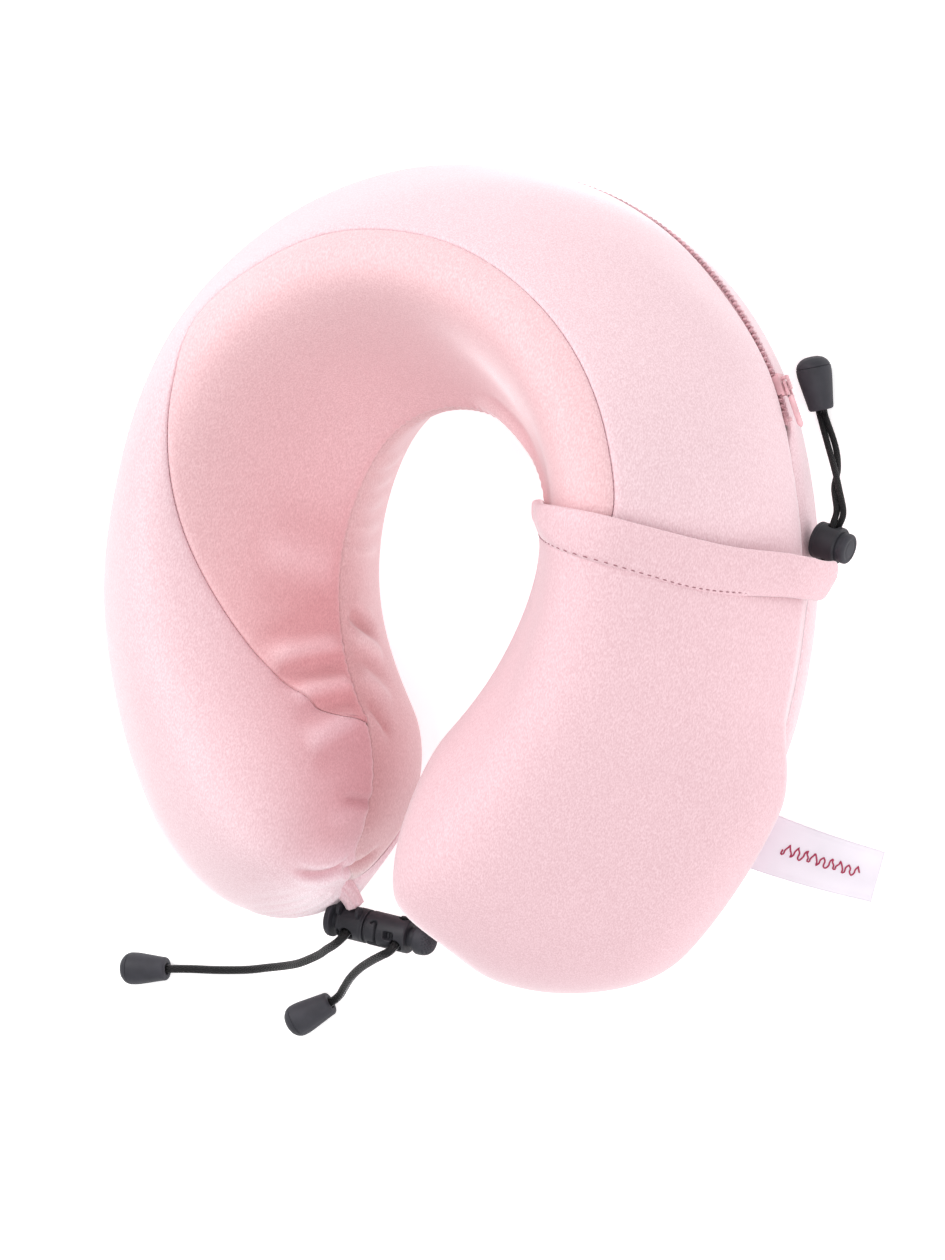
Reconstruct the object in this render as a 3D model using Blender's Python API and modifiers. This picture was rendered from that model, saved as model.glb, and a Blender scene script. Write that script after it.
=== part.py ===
"""U shaped travel neck pillow: a foam core in a sewn velour cover, with a zip round the outer wall,
a drawstring pocket on one arm and a cord-lock clasp between the arm ends.

The pillow lies on its flat base. The origin is on the base under the back of the neck, +Z is up,
+Y points away from the wearer's neck opening and the pocket is on the +X arm.
Dimensions below are in millimetres, and every mesh is made in metres.
"""
from math import asin, ceil, copysign, cos, degrees, pi, radians, sin, sqrt

import bmesh
import bpy
import numpy as np
from mathutils import Matrix, Vector

MM = 0.001

# ---- pillow body ----------------------------------------------------------------------------
# Centreline from the back of the neck to one arm end: arc radius, and the angle where the arc ends
ARCS = ((83.0, 66.0), (141.0, 141.0), (95.0, 152.0))
HALF_WIDTH = (45.5, 50.5)        # at the back, along the arms
HEIGHT = (127.0, 107.5)
ARM_BLEND = (64.0, 130.0)        # angles where the section starts and ends changing to the arm's
DOME_LENGTH = 59.0               # the arm ends round off over this length
DOME_POWER = 2.07
DOME_RISE = 0.59                 # how fast the height closes, against the width
DOME_CENTRE = 0.52               # height of the arm end's tip, of the section's height
# Control points of the closed spline through a section: outward / half width, up / height
SECTION_BACK = ((-0.55, 0), (0, 0), (0.55, 0), (0.95, 0), (1.10, 0.39), (0.84, 0.76),
                (0.20, 1.10), (-0.29, 0.98), (-0.85, 0.45), (-1.08, 0.46), (-0.67, 0))
SECTION_ARM = ((-0.55, 0), (0, 0), (0.55, 0), (0.95, 0), (1.10, 0.39), (0.90, 0.76),
               (0.08, 1.10), (-0.28, 1.08), (-0.81, 0.85), (-1.02, 0.43), (-0.88, 0))
TURN = len(SECTION_BACK)         # the section parameter runs from 0 to this, once round

# ---- cover panels: seams as section parameters ----------------------------------------------
ZIP_SEAM = 3.7                   # outer wall, just above the base
CROWN_SEAM = 5.78                # between the face panel and the outer panel, at the back
INNER_SEAM = 8.8                 # rim of the neck opening
BASE_SEAM = 10.15                # foot of the neck opening's wall
CROWN_START = (54.0, 76.0)       # the crown seam starts to cross over to the inner seam here, left and right arm
CROWN_END = 131.0
CROWN_SOFT = 0.05                # roundness of its turn there, as a share of the crossing
CROWN_HOLD = 0.155               # share of the crossing that it makes only near its end
FACE_END = 129.0                 # the face panel's points
CLOTH = 1.4                      # panel thickness
SEAM_GAP = 0.55                  # half the gap between two panels
CORE_DEPTH = 4.3                 # foam below the outside of the cover
CAP_START = 4.0                  # the outer panel closes the last stretch of each arm end
CAP_ROWS = (2.0, 0.8, 0.2)       # rows of that cap, from the tip
ROW_STEP = 20.0
ROW_CROWDING = 1.35              # how much closer together the rows get towards the arm ends

# ---- pocket ---------------------------------------------------------------------------------
HEM_ANGLE = 74.8                 # middle of the hem's top edge, round the neck
HEM_SLANT = 15.0                 # the hem's outer end is this much nearer the arm end, its inner end farther
HEM_WIDTH = 15.5
HEM_TAPER = 5.0                  # the hem is this much narrower at its outer end
TAPER_FROM, TAPER_RUN = 5.4, 1.2 # section parameters: where it starts to narrow, and over how much
HEM_NOSE = 7.0                   # its outer end stands out from the pillow by this much more
OUT_RISE = 0.4                   # section parameters over which the pocket comes to stand out from its seam
NOSE_FALL, POUCH_FALL = 1.0, 1.3 # and falls back over the arm's top
POCKET_LIFT = 1.4                # clearance under the pocket panel
POUCH = 9.0                      # the pocket stands out from the arm's outer corner by this much more
POUCH_SPAN = (172.0, 264.0)      # between these distances along the centreline
POUCH_EASE = (26.0, 24.0)        # over these lengths from either of them
POCKET_COLUMNS = 16
POCKET_END = 0.6                 # the pocket stops this short of the arm end's tip
HEM_RISE = 5.4                   # height of the hem's fold over the cover
HEM_CLOTH = 1.0

# ---- zip ------------------------------------------------------------------------------------
ZIP_HALF_ANGLE = 66.0
ZIP_OPENING = 3.6                # half the gap between the panels at the zip
ZIP_RUNOUT = 6.0                 # the gap closes over this length past the zip's ends
TOOTH_WIDTH = 2.3
TAPE_WIDTH = 8.0
TAPE_DEPTH = 2.3
TAPE = 0.5
STOP_ANGLE = 65.2
SLIDER_ANGLE = 59.7              # closed
PULL_LENGTH = 17.0

# ---- front clasp, along X, measured from its joint --------------------------------------------
CLASP_AT = Vector((-10.7, -242.3, 48.0))
BARREL_R = 6.5
LEFT_BARREL = 11.3
RIGHT_BARREL = 18.2
BORE_R = 4.0
STEM_R = 3.7                     # the buttons' stems, in the bores
STUB_R = 4.3                     # the left half's stub, in the right half
CORD_R = 1.6
LEFT_HOLE = -6.8
RIGHT_HOLE = 14.5
HOLE_R = 2.3
EXIT_TILT = 52.0                 # the cords leave the clasp at this angle above the horizontal

# ---- pocket lock ----------------------------------------------------------------------------
LOCK_AT = Vector((139.0, -70.1, 29.0))
LOCK_AXIS = Vector((0.99, -0.13, 0.06)).normalized()
LOCK_R = 6.8
LOCK_BORE = 5.7
LOCK_STEM = 5.4
STRAND = 1.5                     # half the distance between the pocket cord's two strands
STRAND_R = 1.15

# ---- cord ends ------------------------------------------------------------------------------
BELL_LENGTH = 20.0
BELL_R = 6.5
BELL_MOUTH_R = 3.6
BELL_BORE_R = 2.6
KNOT_AT = 10.3                   # from the mouth
KNOT_R = 2.7

# ---- side label -----------------------------------------------------------------------------
LABEL_S = (201.0, 218.0)         # its sewn end, along the centreline
LABEL_OUT = ((173.4, -176.9, 12.0), (170.5, -196.5, 9.5))
LABEL_TUCK = 1.0                 # into the seam
LABEL_DROOP = 3.0
LABEL_THICKNESS = 0.5

PINK = (0.87, 0.60, 0.64)
PALE_PINK = (0.93, 0.76, 0.80)
CHARCOAL = (0.055, 0.052, 0.060)


# ---- scene ----------------------------------------------------------------------------------
for old in list(bpy.data.objects):
    bpy.data.objects.remove(old, do_unlink=True)
parts = bpy.data.collections.new("neck_pillow")
cutters = bpy.data.collections.new("cutters")
for group in (parts, cutters):
    bpy.context.scene.collection.children.link(group)


def material(name, colour, roughness=0.9, metallic=0.0):
    """A plain Principled material."""
    made = bpy.data.materials.new(name)
    made.use_nodes = True
    shader = made.node_tree.nodes["Principled BSDF"]
    shader.inputs["Base Color"].default_value = (*colour, 1.0)
    shader.inputs["Roughness"].default_value = roughness
    shader.inputs["Metallic"].default_value = metallic
    return made


def add_object(name, data, look, parent=None):
    """Link an object of the assembly, with its own material."""
    made = bpy.data.objects.new(name, data)
    made.data.materials.append(material(name, *look))
    made.parent = parent
    parts.objects.link(made)
    return made


def add_mesh(name, points, faces, look, parent=None):
    """A mesh object from points in millimetres."""
    mesh = bpy.data.meshes.new(name)
    mesh.from_pydata([tuple(c * MM for c in p) for p in points], [], faces)
    mesh.shade_smooth()
    mesh.set_sharp_from_angle(angle=radians(40))
    return add_object(name, mesh, look, parent)


def add_empty(name, at, turn=None, parent=None):
    """An empty to place parts by: at in millimetres, turn a 3 x 3 matrix."""
    made = bpy.data.objects.new(name, None)
    matrix = turn.to_4x4() if turn else Matrix()
    matrix.translation = Vector(at) * MM
    made.matrix_local = matrix
    made.parent = parent
    parts.objects.link(made)
    return made


def solidify(thing, thickness):
    """Give an open surface its thickness, on the inner side."""
    shell = thing.modifiers.new("thickness", "SOLIDIFY")
    shell.thickness = thickness * MM
    shell.offset = -1.0
    shell.use_even_offset = True


# ---- the pillow's surface -------------------------------------------------------------------
def arc_length(until):
    """Distance along the centreline from the back of the neck to an angle in degrees."""
    total, begin = 0.0, 0.0
    for radius, end in ARCS:
        total += radius * radians(max(0.0, min(until, end) - begin))
        begin = end
    return total


HALF_LENGTH = arc_length(ARCS[-1][1])


def centreline(s):
    """Point and outward angle at distance s from the back of the neck, +X side positive."""
    left, x, y, angle = abs(s), 0.0, 0.0, 0.0
    for radius, end in ARCS:
        step = max(0.0, min(left, radius * (radians(end) - angle)))
        nxt = angle + step / radius
        x += radius * (sin(nxt) - sin(angle))
        y += radius * (cos(nxt) - cos(angle))
        left -= step
        angle = nxt
    return copysign(1.0, s) * x, y, copysign(1.0, s) * angle


def smooth(v):
    v = min(max(v, 0.0), 1.0)
    return v * v * (3 - 2 * v)


def spline(points, t):
    """Closed uniform cubic B-spline."""
    i = int(t // 1)
    f = t - i
    weights = ((1 - f) ** 3 / 6, (3 * f ** 3 - 6 * f ** 2 + 4) / 6,
               (-3 * f ** 3 + 3 * f ** 2 + 3 * f + 1) / 6, f ** 3 / 6)
    return sum(w * points[(i - 1 + k) % TURN] for k, w in enumerate(weights))


BACK, ARM = (np.array(outline, float) for outline in (SECTION_BACK, SECTION_ARM))


def skin_point(s, t):
    """A point of the cover's outside, at distance s along the centreline and t round the section."""
    x, y, angle = centreline(s)
    low, high = ARM_BLEND
    blend = smooth((abs(degrees(angle)) - low) / (high - low))
    half_width, height = (a + (b - a) * blend for a, b in (HALF_WIDTH, HEIGHT))
    n, z = spline(BACK + (ARM - BACK) * blend, t % TURN) * (half_width, height)
    closing = min(max((HALF_LENGTH - abs(s)) / DOME_LENGTH, 0.0), 1.0)
    dome = (1 - (1 - closing) ** DOME_POWER) ** (1 / DOME_POWER)
    centre = DOME_CENTRE * height
    z = centre + (z - centre) * dome ** DOME_RISE
    n *= dome
    return np.array((x + sin(angle) * n, y + cos(angle) * n, z))


def skin_normal(s, t):
    """Outward normal of the cover."""
    s = min(max(s, 0.3 - HALF_LENGTH), HALF_LENGTH - 0.3)
    along = skin_point(s + 0.1, t) - skin_point(s - 0.1, t)
    up = skin_point(s, t + 0.01) - skin_point(s, t - 0.01)
    normal = np.cross(up, along)
    return normal / np.linalg.norm(normal)


def skin(s, t, depth=0.0):
    """A point at a depth below the cover's outside."""
    return skin_point(s, t) - depth * skin_normal(s, t)


def shift(s, t, distance):
    """The section parameter a distance in millimetres round the section from t."""
    speed = np.linalg.norm(skin_point(s, t + 0.02) - skin_point(s, t - 0.02)) / 0.04
    return t + distance / max(speed, 4.0)


def crown_seam(s):
    """Where the crown seam is at distance s: over the crown at the back, at the inner rim on the arms."""
    start = CROWN_START[0] if s < 0 else CROWN_START[1]
    share = (abs(degrees(centreline(s)[2])) - start) / (CROWN_END - start)
    cross = min(0.5 * (share + sqrt(share ** 2 + CROWN_SOFT ** 2)), 1.0)
    return CROWN_SEAM + (INNER_SEAM - CROWN_SEAM) * cross * (1 - CROWN_HOLD + CROWN_HOLD * cross ** 8)


def stations(begin, end, marks=()):
    """Distances along the centreline, closer together towards the arm ends, marks included."""
    def crowd(v):
        return sin(v * ROW_CROWDING) / sin(ROW_CROWDING)

    low, high = (asin(v / HALF_LENGTH * sin(ROW_CROWDING)) / ROW_CROWDING for v in (begin, end))
    count = ceil((end - begin) / ROW_STEP)
    rows = [crowd(low + (high - low) * i / count) * HALF_LENGTH for i in range(count + 1)]
    marks = [m for m in marks if begin < m < end]
    rows = [s for s in rows[1:-1] if all(abs(s - m) > ROW_STEP / 4 for m in marks)]
    return sorted([begin, *rows, *marks, end])


def grid_faces(rows, columns):
    """Quads facing out, for a grid of points with rows along the pillow and columns round it."""
    return [(a, a + 1, a + columns + 1, a + columns)
            for i in range(rows - 1) for a in range(i * columns, (i + 1) * columns - 1)]


def span_row(s, low, high, columns, depth):
    """A row of points at distance s, from low to high round the section."""
    return [skin(s, low + (high - low) * j / (columns - 1), depth) for j in range(columns)]


def panel(name, rows, span, columns, look, depth=0.0, thickness=CLOTH):
    """A cover panel: rows along the pillow, span(s) its two seams round the section."""
    points = [p for s in rows for p in span_row(s, *span(s), columns, depth)]
    shell = add_mesh(name, points, grid_faces(len(rows), columns), look)
    solidify(shell, thickness)
    return shell


# ---- cover and core -------------------------------------------------------------------------
ZIP_END = arc_length(ZIP_HALF_ANGLE)
CAP_S = HALF_LENGTH - CAP_START
FACE_S = arc_length(FACE_END)
PANEL_S = CAP_S - 2 * SEAM_GAP
MARKS = [sign * s for sign in (-1, 1) for s in (ZIP_END, ZIP_END + ZIP_RUNOUT, FACE_S)]
ROWS = stations(-CAP_S, CAP_S, MARKS)


def rows_within(limit):
    """The rows that every layer shares, up to a limit either side, so that the layers' facets are parallel."""
    return [-limit, *(s for s in ROWS if abs(s) < limit - 0.1), limit]


def zip_gap(s):
    """Half the gap between the panels along the zip seam: wide at the zip, closed beyond it."""
    closed = min(max((abs(s) - ZIP_END) / ZIP_RUNOUT, 0.0), 1.0)
    return ZIP_OPENING + (SEAM_GAP - ZIP_OPENING) * closed


def outer_span(s):
    return shift(s, ZIP_SEAM, zip_gap(s)), shift(s, crown_seam(s), -SEAM_GAP)


def face_span(s):
    return shift(s, crown_seam(s), SEAM_GAP), shift(s, INNER_SEAM, -SEAM_GAP)


def inner_span(s):
    return shift(s, INNER_SEAM, SEAM_GAP), shift(s, BASE_SEAM, -SEAM_GAP)


def base_span(s):
    return shift(s, BASE_SEAM, SEAM_GAP), shift(s, ZIP_SEAM, -zip_gap(s)) + TURN


def outer_panel(columns=11, closing=9):
    """The outer wall, the arms' tops and the ends of both arms, which it closes with a cap."""
    points = [p for s in ROWS for p in span_row(s, *outer_span(s), columns, 0.0)]
    faces = grid_faces(len(ROWS), columns)
    ring = columns + closing
    for side in (-1, 1):
        edge = 0 if side < 0 else (len(ROWS) - 1) * columns
        previous = None
        for from_tip in (CAP_START, *CAP_ROWS):
            s = side * (HALF_LENGTH - from_tip)
            low, high = outer_span(side * CAP_S)
            first = len(points)
            if previous is None:
                points += span_row(s, high, low + TURN, closing + 2, 0.0)[1:-1]
                current = list(range(edge, edge + columns)) + list(range(first, first + closing))
            else:
                points += span_row(s, low, high, columns, 0.0)
                points += span_row(s, high, low + TURN, closing + 2, 0.0)[1:-1]
                current = list(range(first, first + ring))
                for j in range(ring):
                    quad = (previous[j], previous[(j + 1) % ring], current[(j + 1) % ring], current[j])
                    faces.append(quad if side > 0 else quad[::-1])
            previous = current
        faces.append(previous if side > 0 else previous[::-1])
    shell = add_mesh("outer_panel", points, faces, (PALE_PINK,))
    solidify(shell, CLOTH)


def foam_core(columns=20):
    """The moulded memory foam inside the cover."""
    tips = [HALF_LENGTH - d for d in CAP_ROWS[:2]]
    rows = [-tips[1], -tips[0], *ROWS, *tips]
    points = [p for s in rows for p in span_row(s, 0, TURN, columns + 1, CORE_DEPTH)[:-1]]
    faces = []
    for i in range(len(rows) - 1):
        for j in range(columns):
            a, b = i * columns + j, i * columns + (j + 1) % columns
            faces.append((a, b, b + columns, a + columns))
    last = (len(rows) - 1) * columns
    faces += [tuple(range(columns))[::-1], tuple(range(last, last + columns))]
    add_mesh("foam_core", points, faces, ((0.93, 0.90, 0.80),))


foam_core()
outer_panel()
panel("face_panel", rows_within(FACE_S), face_span, 9, (PINK,))
panel("inner_panel", rows_within(PANEL_S), inner_span, 5, (PALE_PINK,))
panel("base_panel", rows_within(PANEL_S), base_span, 13, (PINK,))


# ---- pocket ---------------------------------------------------------------------------------
def hem_line(t):
    """Distance along the centreline of the hem's top edge: it runs slightly askew round the arm."""
    return arc_length(HEM_ANGLE) + HEM_SLANT * spline(BACK, t % TURN)[0]


POCKET_LOW = shift(arc_length(HEM_ANGLE), ZIP_SEAM, 1.0)
POCKET_HIGH = BASE_SEAM - 0.05
POCKET_T = [POCKET_LOW + (POCKET_HIGH - POCKET_LOW) * j / (POCKET_COLUMNS - 1) for j in range(POCKET_COLUMNS)]


def hem_width(t):
    """Width of the hem's channel."""
    return HEM_WIDTH - HEM_TAPER * smooth((TAPER_FROM - t) / TAPER_RUN)


def standing_out(t, fall):
    """Share of the height that the pocket's outer side stands out by: none at its seam, falling off over the top."""
    return smooth((t - POCKET_LOW) / OUT_RISE) * (1 - smooth((t - POCKET_LOW - OUT_RISE) / fall))


def pouch(s, t):
    """How far the loose pocket stands out near the arm's outer corner."""
    rise, fall = (smooth(way / run) for way, run in zip((s - POUCH_SPAN[0], POUCH_SPAN[1] - s), POUCH_EASE))
    return POUCH * rise * fall * standing_out(t, POUCH_FALL)


def pocket_panel(rows=10):
    """The pocket: a second layer over the arm's top, walls and end, open at the hem."""
    points = []
    for i in range(rows):
        along = sin(i / (rows - 1) * pi / 2)
        for t in POCKET_T:
            begin = hem_line(t) + hem_width(t) + SEAM_GAP
            s = begin + (HALF_LENGTH - POCKET_END - begin) * along
            points.append(skin(s, t, -POCKET_LIFT - CLOTH - pouch(s, t)))
    shell = add_mesh("pocket_panel", points, grid_faces(rows, POCKET_COLUMNS), (PINK,))
    solidify(shell, CLOTH)


def pocket_hem():
    """The pocket's top edge, folded over into a channel for its drawcord."""
    fold = ((1.0, HEM_RISE - 1.6), (0.66, HEM_RISE), (0.33, HEM_RISE), (0.1, HEM_RISE - 1.0),
            (0.0, HEM_RISE / 2 + 0.6), (0.1, 1.2), (0.5, 0.8), (1.0, 0.8))
    points = [skin(hem_line(t) + hem_width(t) * along, t, -rise - 0.2 - HEM_NOSE * (1 - along) ** 0.5
                   * standing_out(t, NOSE_FALL)) for along, rise in fold for t in POCKET_T]
    faces = [face[::-1] for face in grid_faces(len(fold), POCKET_COLUMNS)]
    shell = add_mesh("pocket_hem", points, faces, (PALE_PINK,))
    solidify(shell, HEM_CLOTH)


pocket_panel()
pocket_hem()


# ---- modelling helpers for the hard parts ---------------------------------------------------
def solid(name, bm, look=None, parent=None):
    """An object from a bmesh in millimetres: a part when it has a look, else a hidden cutter."""
    bmesh.ops.scale(bm, vec=(MM, MM, MM), verts=bm.verts)
    mesh = bpy.data.meshes.new(name)
    bm.to_mesh(mesh)
    bm.free()
    if look:
        mesh.shade_smooth()
        mesh.set_sharp_from_angle(angle=radians(35))
        return add_object(name, mesh, look, parent)
    made = bpy.data.objects.new(name, mesh)
    made.parent = parent
    made.hide_render = True
    made.display_type = "WIRE"
    cutters.objects.link(made)
    return made


def block(name, low, high, look=None, parent=None):
    """A box between two corners."""
    bm = bmesh.new()
    bmesh.ops.create_cube(bm, size=1.0)
    low, high = Vector(low), Vector(high)
    bmesh.ops.scale(bm, vec=high - low, verts=bm.verts)
    bmesh.ops.translate(bm, vec=(low + high) / 2, verts=bm.verts)
    return solid(name, bm, look, parent)


def rod(name, start, end, radius, look=None, parent=None, segments=16):
    """A cylinder between two points."""
    start, end = Vector(start), Vector(end)
    bm = bmesh.new()
    bmesh.ops.create_cone(bm, cap_ends=True, segments=segments, radius1=radius, radius2=radius,
                          depth=(end - start).length)
    turn = (end - start).to_track_quat("Z", "Y").to_matrix()
    bmesh.ops.rotate(bm, matrix=turn, verts=bm.verts)
    bmesh.ops.translate(bm, vec=(start + end) / 2, verts=bm.verts)
    return solid(name, bm, look, parent)


def turned(name, profile, look=None, parent=None, segments=20, closed=False):
    """A shape turned about Z: (radius, height) points down the outer side, and up the bore if closed."""
    mesh = bpy.data.meshes.new(name)
    edges = [(i, i + 1) for i in range(len(profile) - 1)]
    if closed:
        edges.append((len(profile) - 1, 0))
    mesh.from_pydata([(r * MM, 0, h * MM) for r, h in profile], edges, [])
    if look:
        made = add_object(name, mesh, look, parent)
    else:
        made = solid(name, bmesh.new(), None, parent)
        made.data = mesh
    screw = made.modifiers.new("turn", "SCREW")
    screw.axis = "Z"
    screw.steps = screw.render_steps = segments
    screw.use_merge_vertices = True
    screw.merge_threshold = 0.00001
    screw.use_smooth_shade = True
    return made


def boolean(thing, tool, operation="DIFFERENCE"):
    step = thing.modifiers.new(operation.lower(), "BOOLEAN")
    step.operation = operation
    step.object = tool
    step.solver = "EXACT"


def smooth_route(points, spacing):
    """Points at an even spacing on a smooth curve through a route's points."""
    points = [Vector(p) for p in points]
    ends = [2 * points[0] - points[1], *points, 2 * points[-1] - points[-2]]
    fine = []
    for a, b, c, d in zip(ends, ends[1:], ends[2:], ends[3:]):
        for k in range(12):
            u = k / 12
            fine.append(0.5 * (2 * b + (c - a) * u + (2 * a - 5 * b + 4 * c - d) * u * u
                               + (3 * b - a - 3 * c + d) * u ** 3))
    fine.append(points[-1])
    length = sum((b - a).length for a, b in zip(fine, fine[1:]))
    count = max(3, round(length / spacing))
    even, walked, target = [fine[0]], 0.0, length / count
    for a, b in zip(fine, fine[1:]):
        step = (b - a).length
        while walked + step >= target * len(even) - 1e-9 and len(even) < count:
            even.append(a + (b - a) * ((target * len(even) - walked) / step))
        walked += step
    return [*even, points[-1]]


def tube(name, points, radius, look, parent=None, resolution=2, spacing=7.0):
    """A round cord or wire through a route's points."""
    curve = bpy.data.curves.new(name, "CURVE")
    curve.dimensions = "3D"
    curve.bevel_depth = radius * MM
    curve.bevel_resolution = resolution
    curve.use_fill_caps = True
    curve.render_resolution_u = 0
    path = smooth_route(points, spacing) if spacing else [Vector(p) for p in points]
    line = curve.splines.new("POLY")
    line.points.add(len(path) - 1)
    for point, at in zip(line.points, path):
        point.co = (*(at * MM), 1.0)
    return add_object(name, curve, look, parent)


def coil(name, low, high, radius, wire, turns, look, parent):
    """A compression spring along Z."""
    steps = 7 * turns
    points = [(radius * cos(2 * pi * turns * i / steps), radius * sin(2 * pi * turns * i / steps),
               low + wire + (high - low - 2 * wire) * i / steps) for i in range(steps + 1)]
    return tube(name, points, wire, look, parent, resolution=0, spacing=None)


# ---- zip ------------------------------------------------------------------------------------
STEEL = ((0.75, 0.72, 0.72), 0.3, 1.0)
RUBBER = (CHARCOAL, 0.6)
TRIM = (PINK, 0.6)


def zip_strip(name, near, far, depth, thickness, look, until=ZIP_END):
    """A strip along the zip between two distances above its centre, below it when negative."""
    panel(name, rows_within(until), lambda s: (shift(s, ZIP_SEAM, near), shift(s, ZIP_SEAM, far)), 3,
          look, depth, thickness)


zip_strip("zip_tape_upper", 0.4, TAPE_WIDTH, TAPE_DEPTH, TAPE, TRIM)
zip_strip("zip_tape_lower", -TAPE_WIDTH, -0.4, TAPE_DEPTH, TAPE, TRIM)
zip_strip("zip_teeth_upper", 0.15, TOOTH_WIDTH, -0.3, 1.5, TRIM, ZIP_END - 3.0)
zip_strip("zip_teeth_lower", -TOOTH_WIDTH, -0.15, -0.3, 1.5, TRIM, ZIP_END - 3.0)

ZIP_N, ZIP_Z = spline(BACK, ZIP_SEAM) * (HALF_WIDTH[0], HEIGHT[0])
ZIP_R = ARCS[0][0] + ZIP_N
NECK_CENTRE = (0.0, -ARCS[0][0])


def zip_frame(name, angle, parent=None):
    """An empty on the zip: local X along it, away from the closed end, Y out and Z up."""
    out = Vector((sin(radians(angle)), cos(radians(angle)), 0))
    along = Vector((-out.y, out.x, 0))
    turn = Matrix((along, out, (0, 0, 1))).transposed()
    at = Vector((*NECK_CENTRE, ZIP_Z)) + out * ZIP_R
    return add_empty(name, at, turn, parent)


for end_name, end_angle in (("zip_top_stop", STOP_ANGLE), ("zip_bottom_stop", -STOP_ANGLE)):
    end = zip_frame(end_name + "_frame", end_angle)
    block(end_name, (-0.7, -1.1, -TOOTH_WIDTH), (0.7, 0.5, TOOTH_WIDTH), STEEL, end)

slider_frame = zip_frame("slider_frame", SLIDER_ANGLE)
slider = block("zip_slider", (-4.2, 0.8, -3.2), (4.2, 1.9, 3.2), STEEL, slider_frame)
for side in (-1, 1):
    flange = sorted((side * (TOOTH_WIDTH + 0.35), side * 3.2))
    boolean(slider, block(f"flange_{side}", (-3.6, -0.7, flange[0]), (3.6, 1.2, flange[1]),
                          parent=slider_frame), "UNION")
boolean(slider, block("bridge", (-2.6, 1.5, -0.8), (2.6, 4.4, 0.8), parent=slider_frame), "UNION")
boolean(slider, rod("bridge_hole", (0, 3.0, -2), (0, 3.0, 2), 0.85, parent=slider_frame, segments=12))

pull_frame = add_empty("pull_frame", (0, 3.0, 0), parent=slider_frame)
pull = rod("zip_pull", (0, 0, -2.2), (0, 0, 2.2), 0.5, TRIM, pull_frame, segments=12)
for side in (-1, 1):
    ear = sorted((side * 1.15, side * 2.2))
    boolean(pull, block(f"ear_{side}", (-6.2, -0.6, ear[0]), (0.75, 0.6, ear[1]), parent=pull_frame), "UNION")
leaf = block("leaf", (-PULL_LENGTH, -0.6, -3.2), (-5.2, 0.6, 3.2), parent=pull_frame)
tips = leaf.modifiers.new("rounded", "BEVEL")
tips.width = 2.4 * MM
tips.segments = 3
tips.affect = "EDGES"
tips.limit_method = "WEIGHT"
weights = leaf.data.attributes.new("bevel_weight_edge", "FLOAT", "EDGE")
for edge in leaf.data.edges:
    a, b = (leaf.data.vertices[v].co for v in edge.vertices)
    weights.data[edge.index].value = float(abs(a.y - b.y) > 0.5 * MM)
boolean(pull, leaf, "UNION")


# ---- clasp ----------------------------------------------------------------------------------
# Local Z runs along the world's +X, local X points away from the pillow and local Y down
ALONG_X = Matrix(((0, 0, 1), (-1, 0, 0), (0, -1, 0)))
clasp = add_empty("clasp_axis", CLASP_AT, ALONG_X)
SPRING = ((0.6, 0.6, 0.6), 0.35, 1.0)
SLOT_SIDE = CORD_R + 0.45
EXIT = Vector((cos(radians(EXIT_TILT)), -sin(radians(EXIT_TILT)), 0))


def cord_way(thing, name, at):
    """The cord's way through a half: in on the pillow's side, out at the front and upwards."""
    for way, tip in (("in", Vector((-9, 0, 0))), ("out", EXIT * 9)):
        begin = Vector((0, 0, at)) - tip / 9
        boolean(thing, rod(f"{name}_cord_{way}", begin, Vector((0, 0, at)) + tip, HOLE_R, parent=clasp))


def slot_way(thing, name, low, high):
    """The same way through a button's stem, longer so that the button can be pressed."""
    for way, turn in (("in", 180), ("out", -EXIT_TILT)):
        frame = add_empty(f"{name}_slot_{way}", (0, 0, 0), Matrix.Rotation(radians(turn), 3, "Z"), clasp)
        boolean(thing, block(f"{name}_{way}", (-1.0, -SLOT_SIDE, low), (9, SLOT_SIDE, high), parent=frame))


left_half = turned("clasp_left_half", (
    (0, 5.2), (STUB_R - 0.5, 5.2), (STUB_R, 4.7), (STUB_R, 0), (BARREL_R - 0.4, 0), (BARREL_R, -0.5),
    (BARREL_R, -LEFT_BARREL + 0.6), (BARREL_R - 0.6, -LEFT_BARREL), (BORE_R, -LEFT_BARREL),
    (BORE_R, -1.5), (2.9, -1.5), (2.9, 4.2), (0, 4.2)), RUBBER, clasp)
boolean(left_half, block("bayonet_lug", (-0.8, -6.0, 1.4), (0.8, -3.6, 3.2), parent=clasp), "UNION")
for number, near in enumerate((LEFT_HOLE + 3.4, LEFT_HOLE - 4.8)):
    boolean(left_half, rod(f"ear_disc_{number}", (-4.6, -4.6, near), (-4.6, -4.6, near + 1.4), 2.3, parent=clasp),
            "UNION")
cord_way(left_half, "left", LEFT_HOLE)

left_button = turned("clasp_left_button", (
    (0, -4.2), (STEM_R, -4.2), (STEM_R, -14.1), (7.0, -14.1), (7.0, -16.2), (6.4, -16.8), (0, -16.8)),
    RUBBER, clasp)
slot_way(left_button, "left", LEFT_HOLE - 4.4, LEFT_HOLE + 1.9)
coil("clasp_left_spring", -3.9, 3.9, 2.2, 0.35, 4, SPRING, clasp)

right_half = turned("clasp_right_half", (
    (0, 6.6), (BORE_R, 6.6), (BORE_R, RIGHT_BARREL), (BARREL_R - 0.6, RIGHT_BARREL),
    (BARREL_R, RIGHT_BARREL - 0.6), (BARREL_R, 0.9), (BARREL_R - 0.3, 0.5), (4.7, 0.5), (4.7, 5.8), (0, 5.8)),
    RUBBER, clasp)
boolean(right_half, block("bayonet_slot", (-1.2, -9, 0.2), (1.2, -4, 3.7), parent=clasp))
boolean(right_half, block("bayonet_hook", (-4.0, -9, 2.2), (0, -4, 3.7), parent=clasp))
cord_way(right_half, "right", RIGHT_HOLE)

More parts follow.
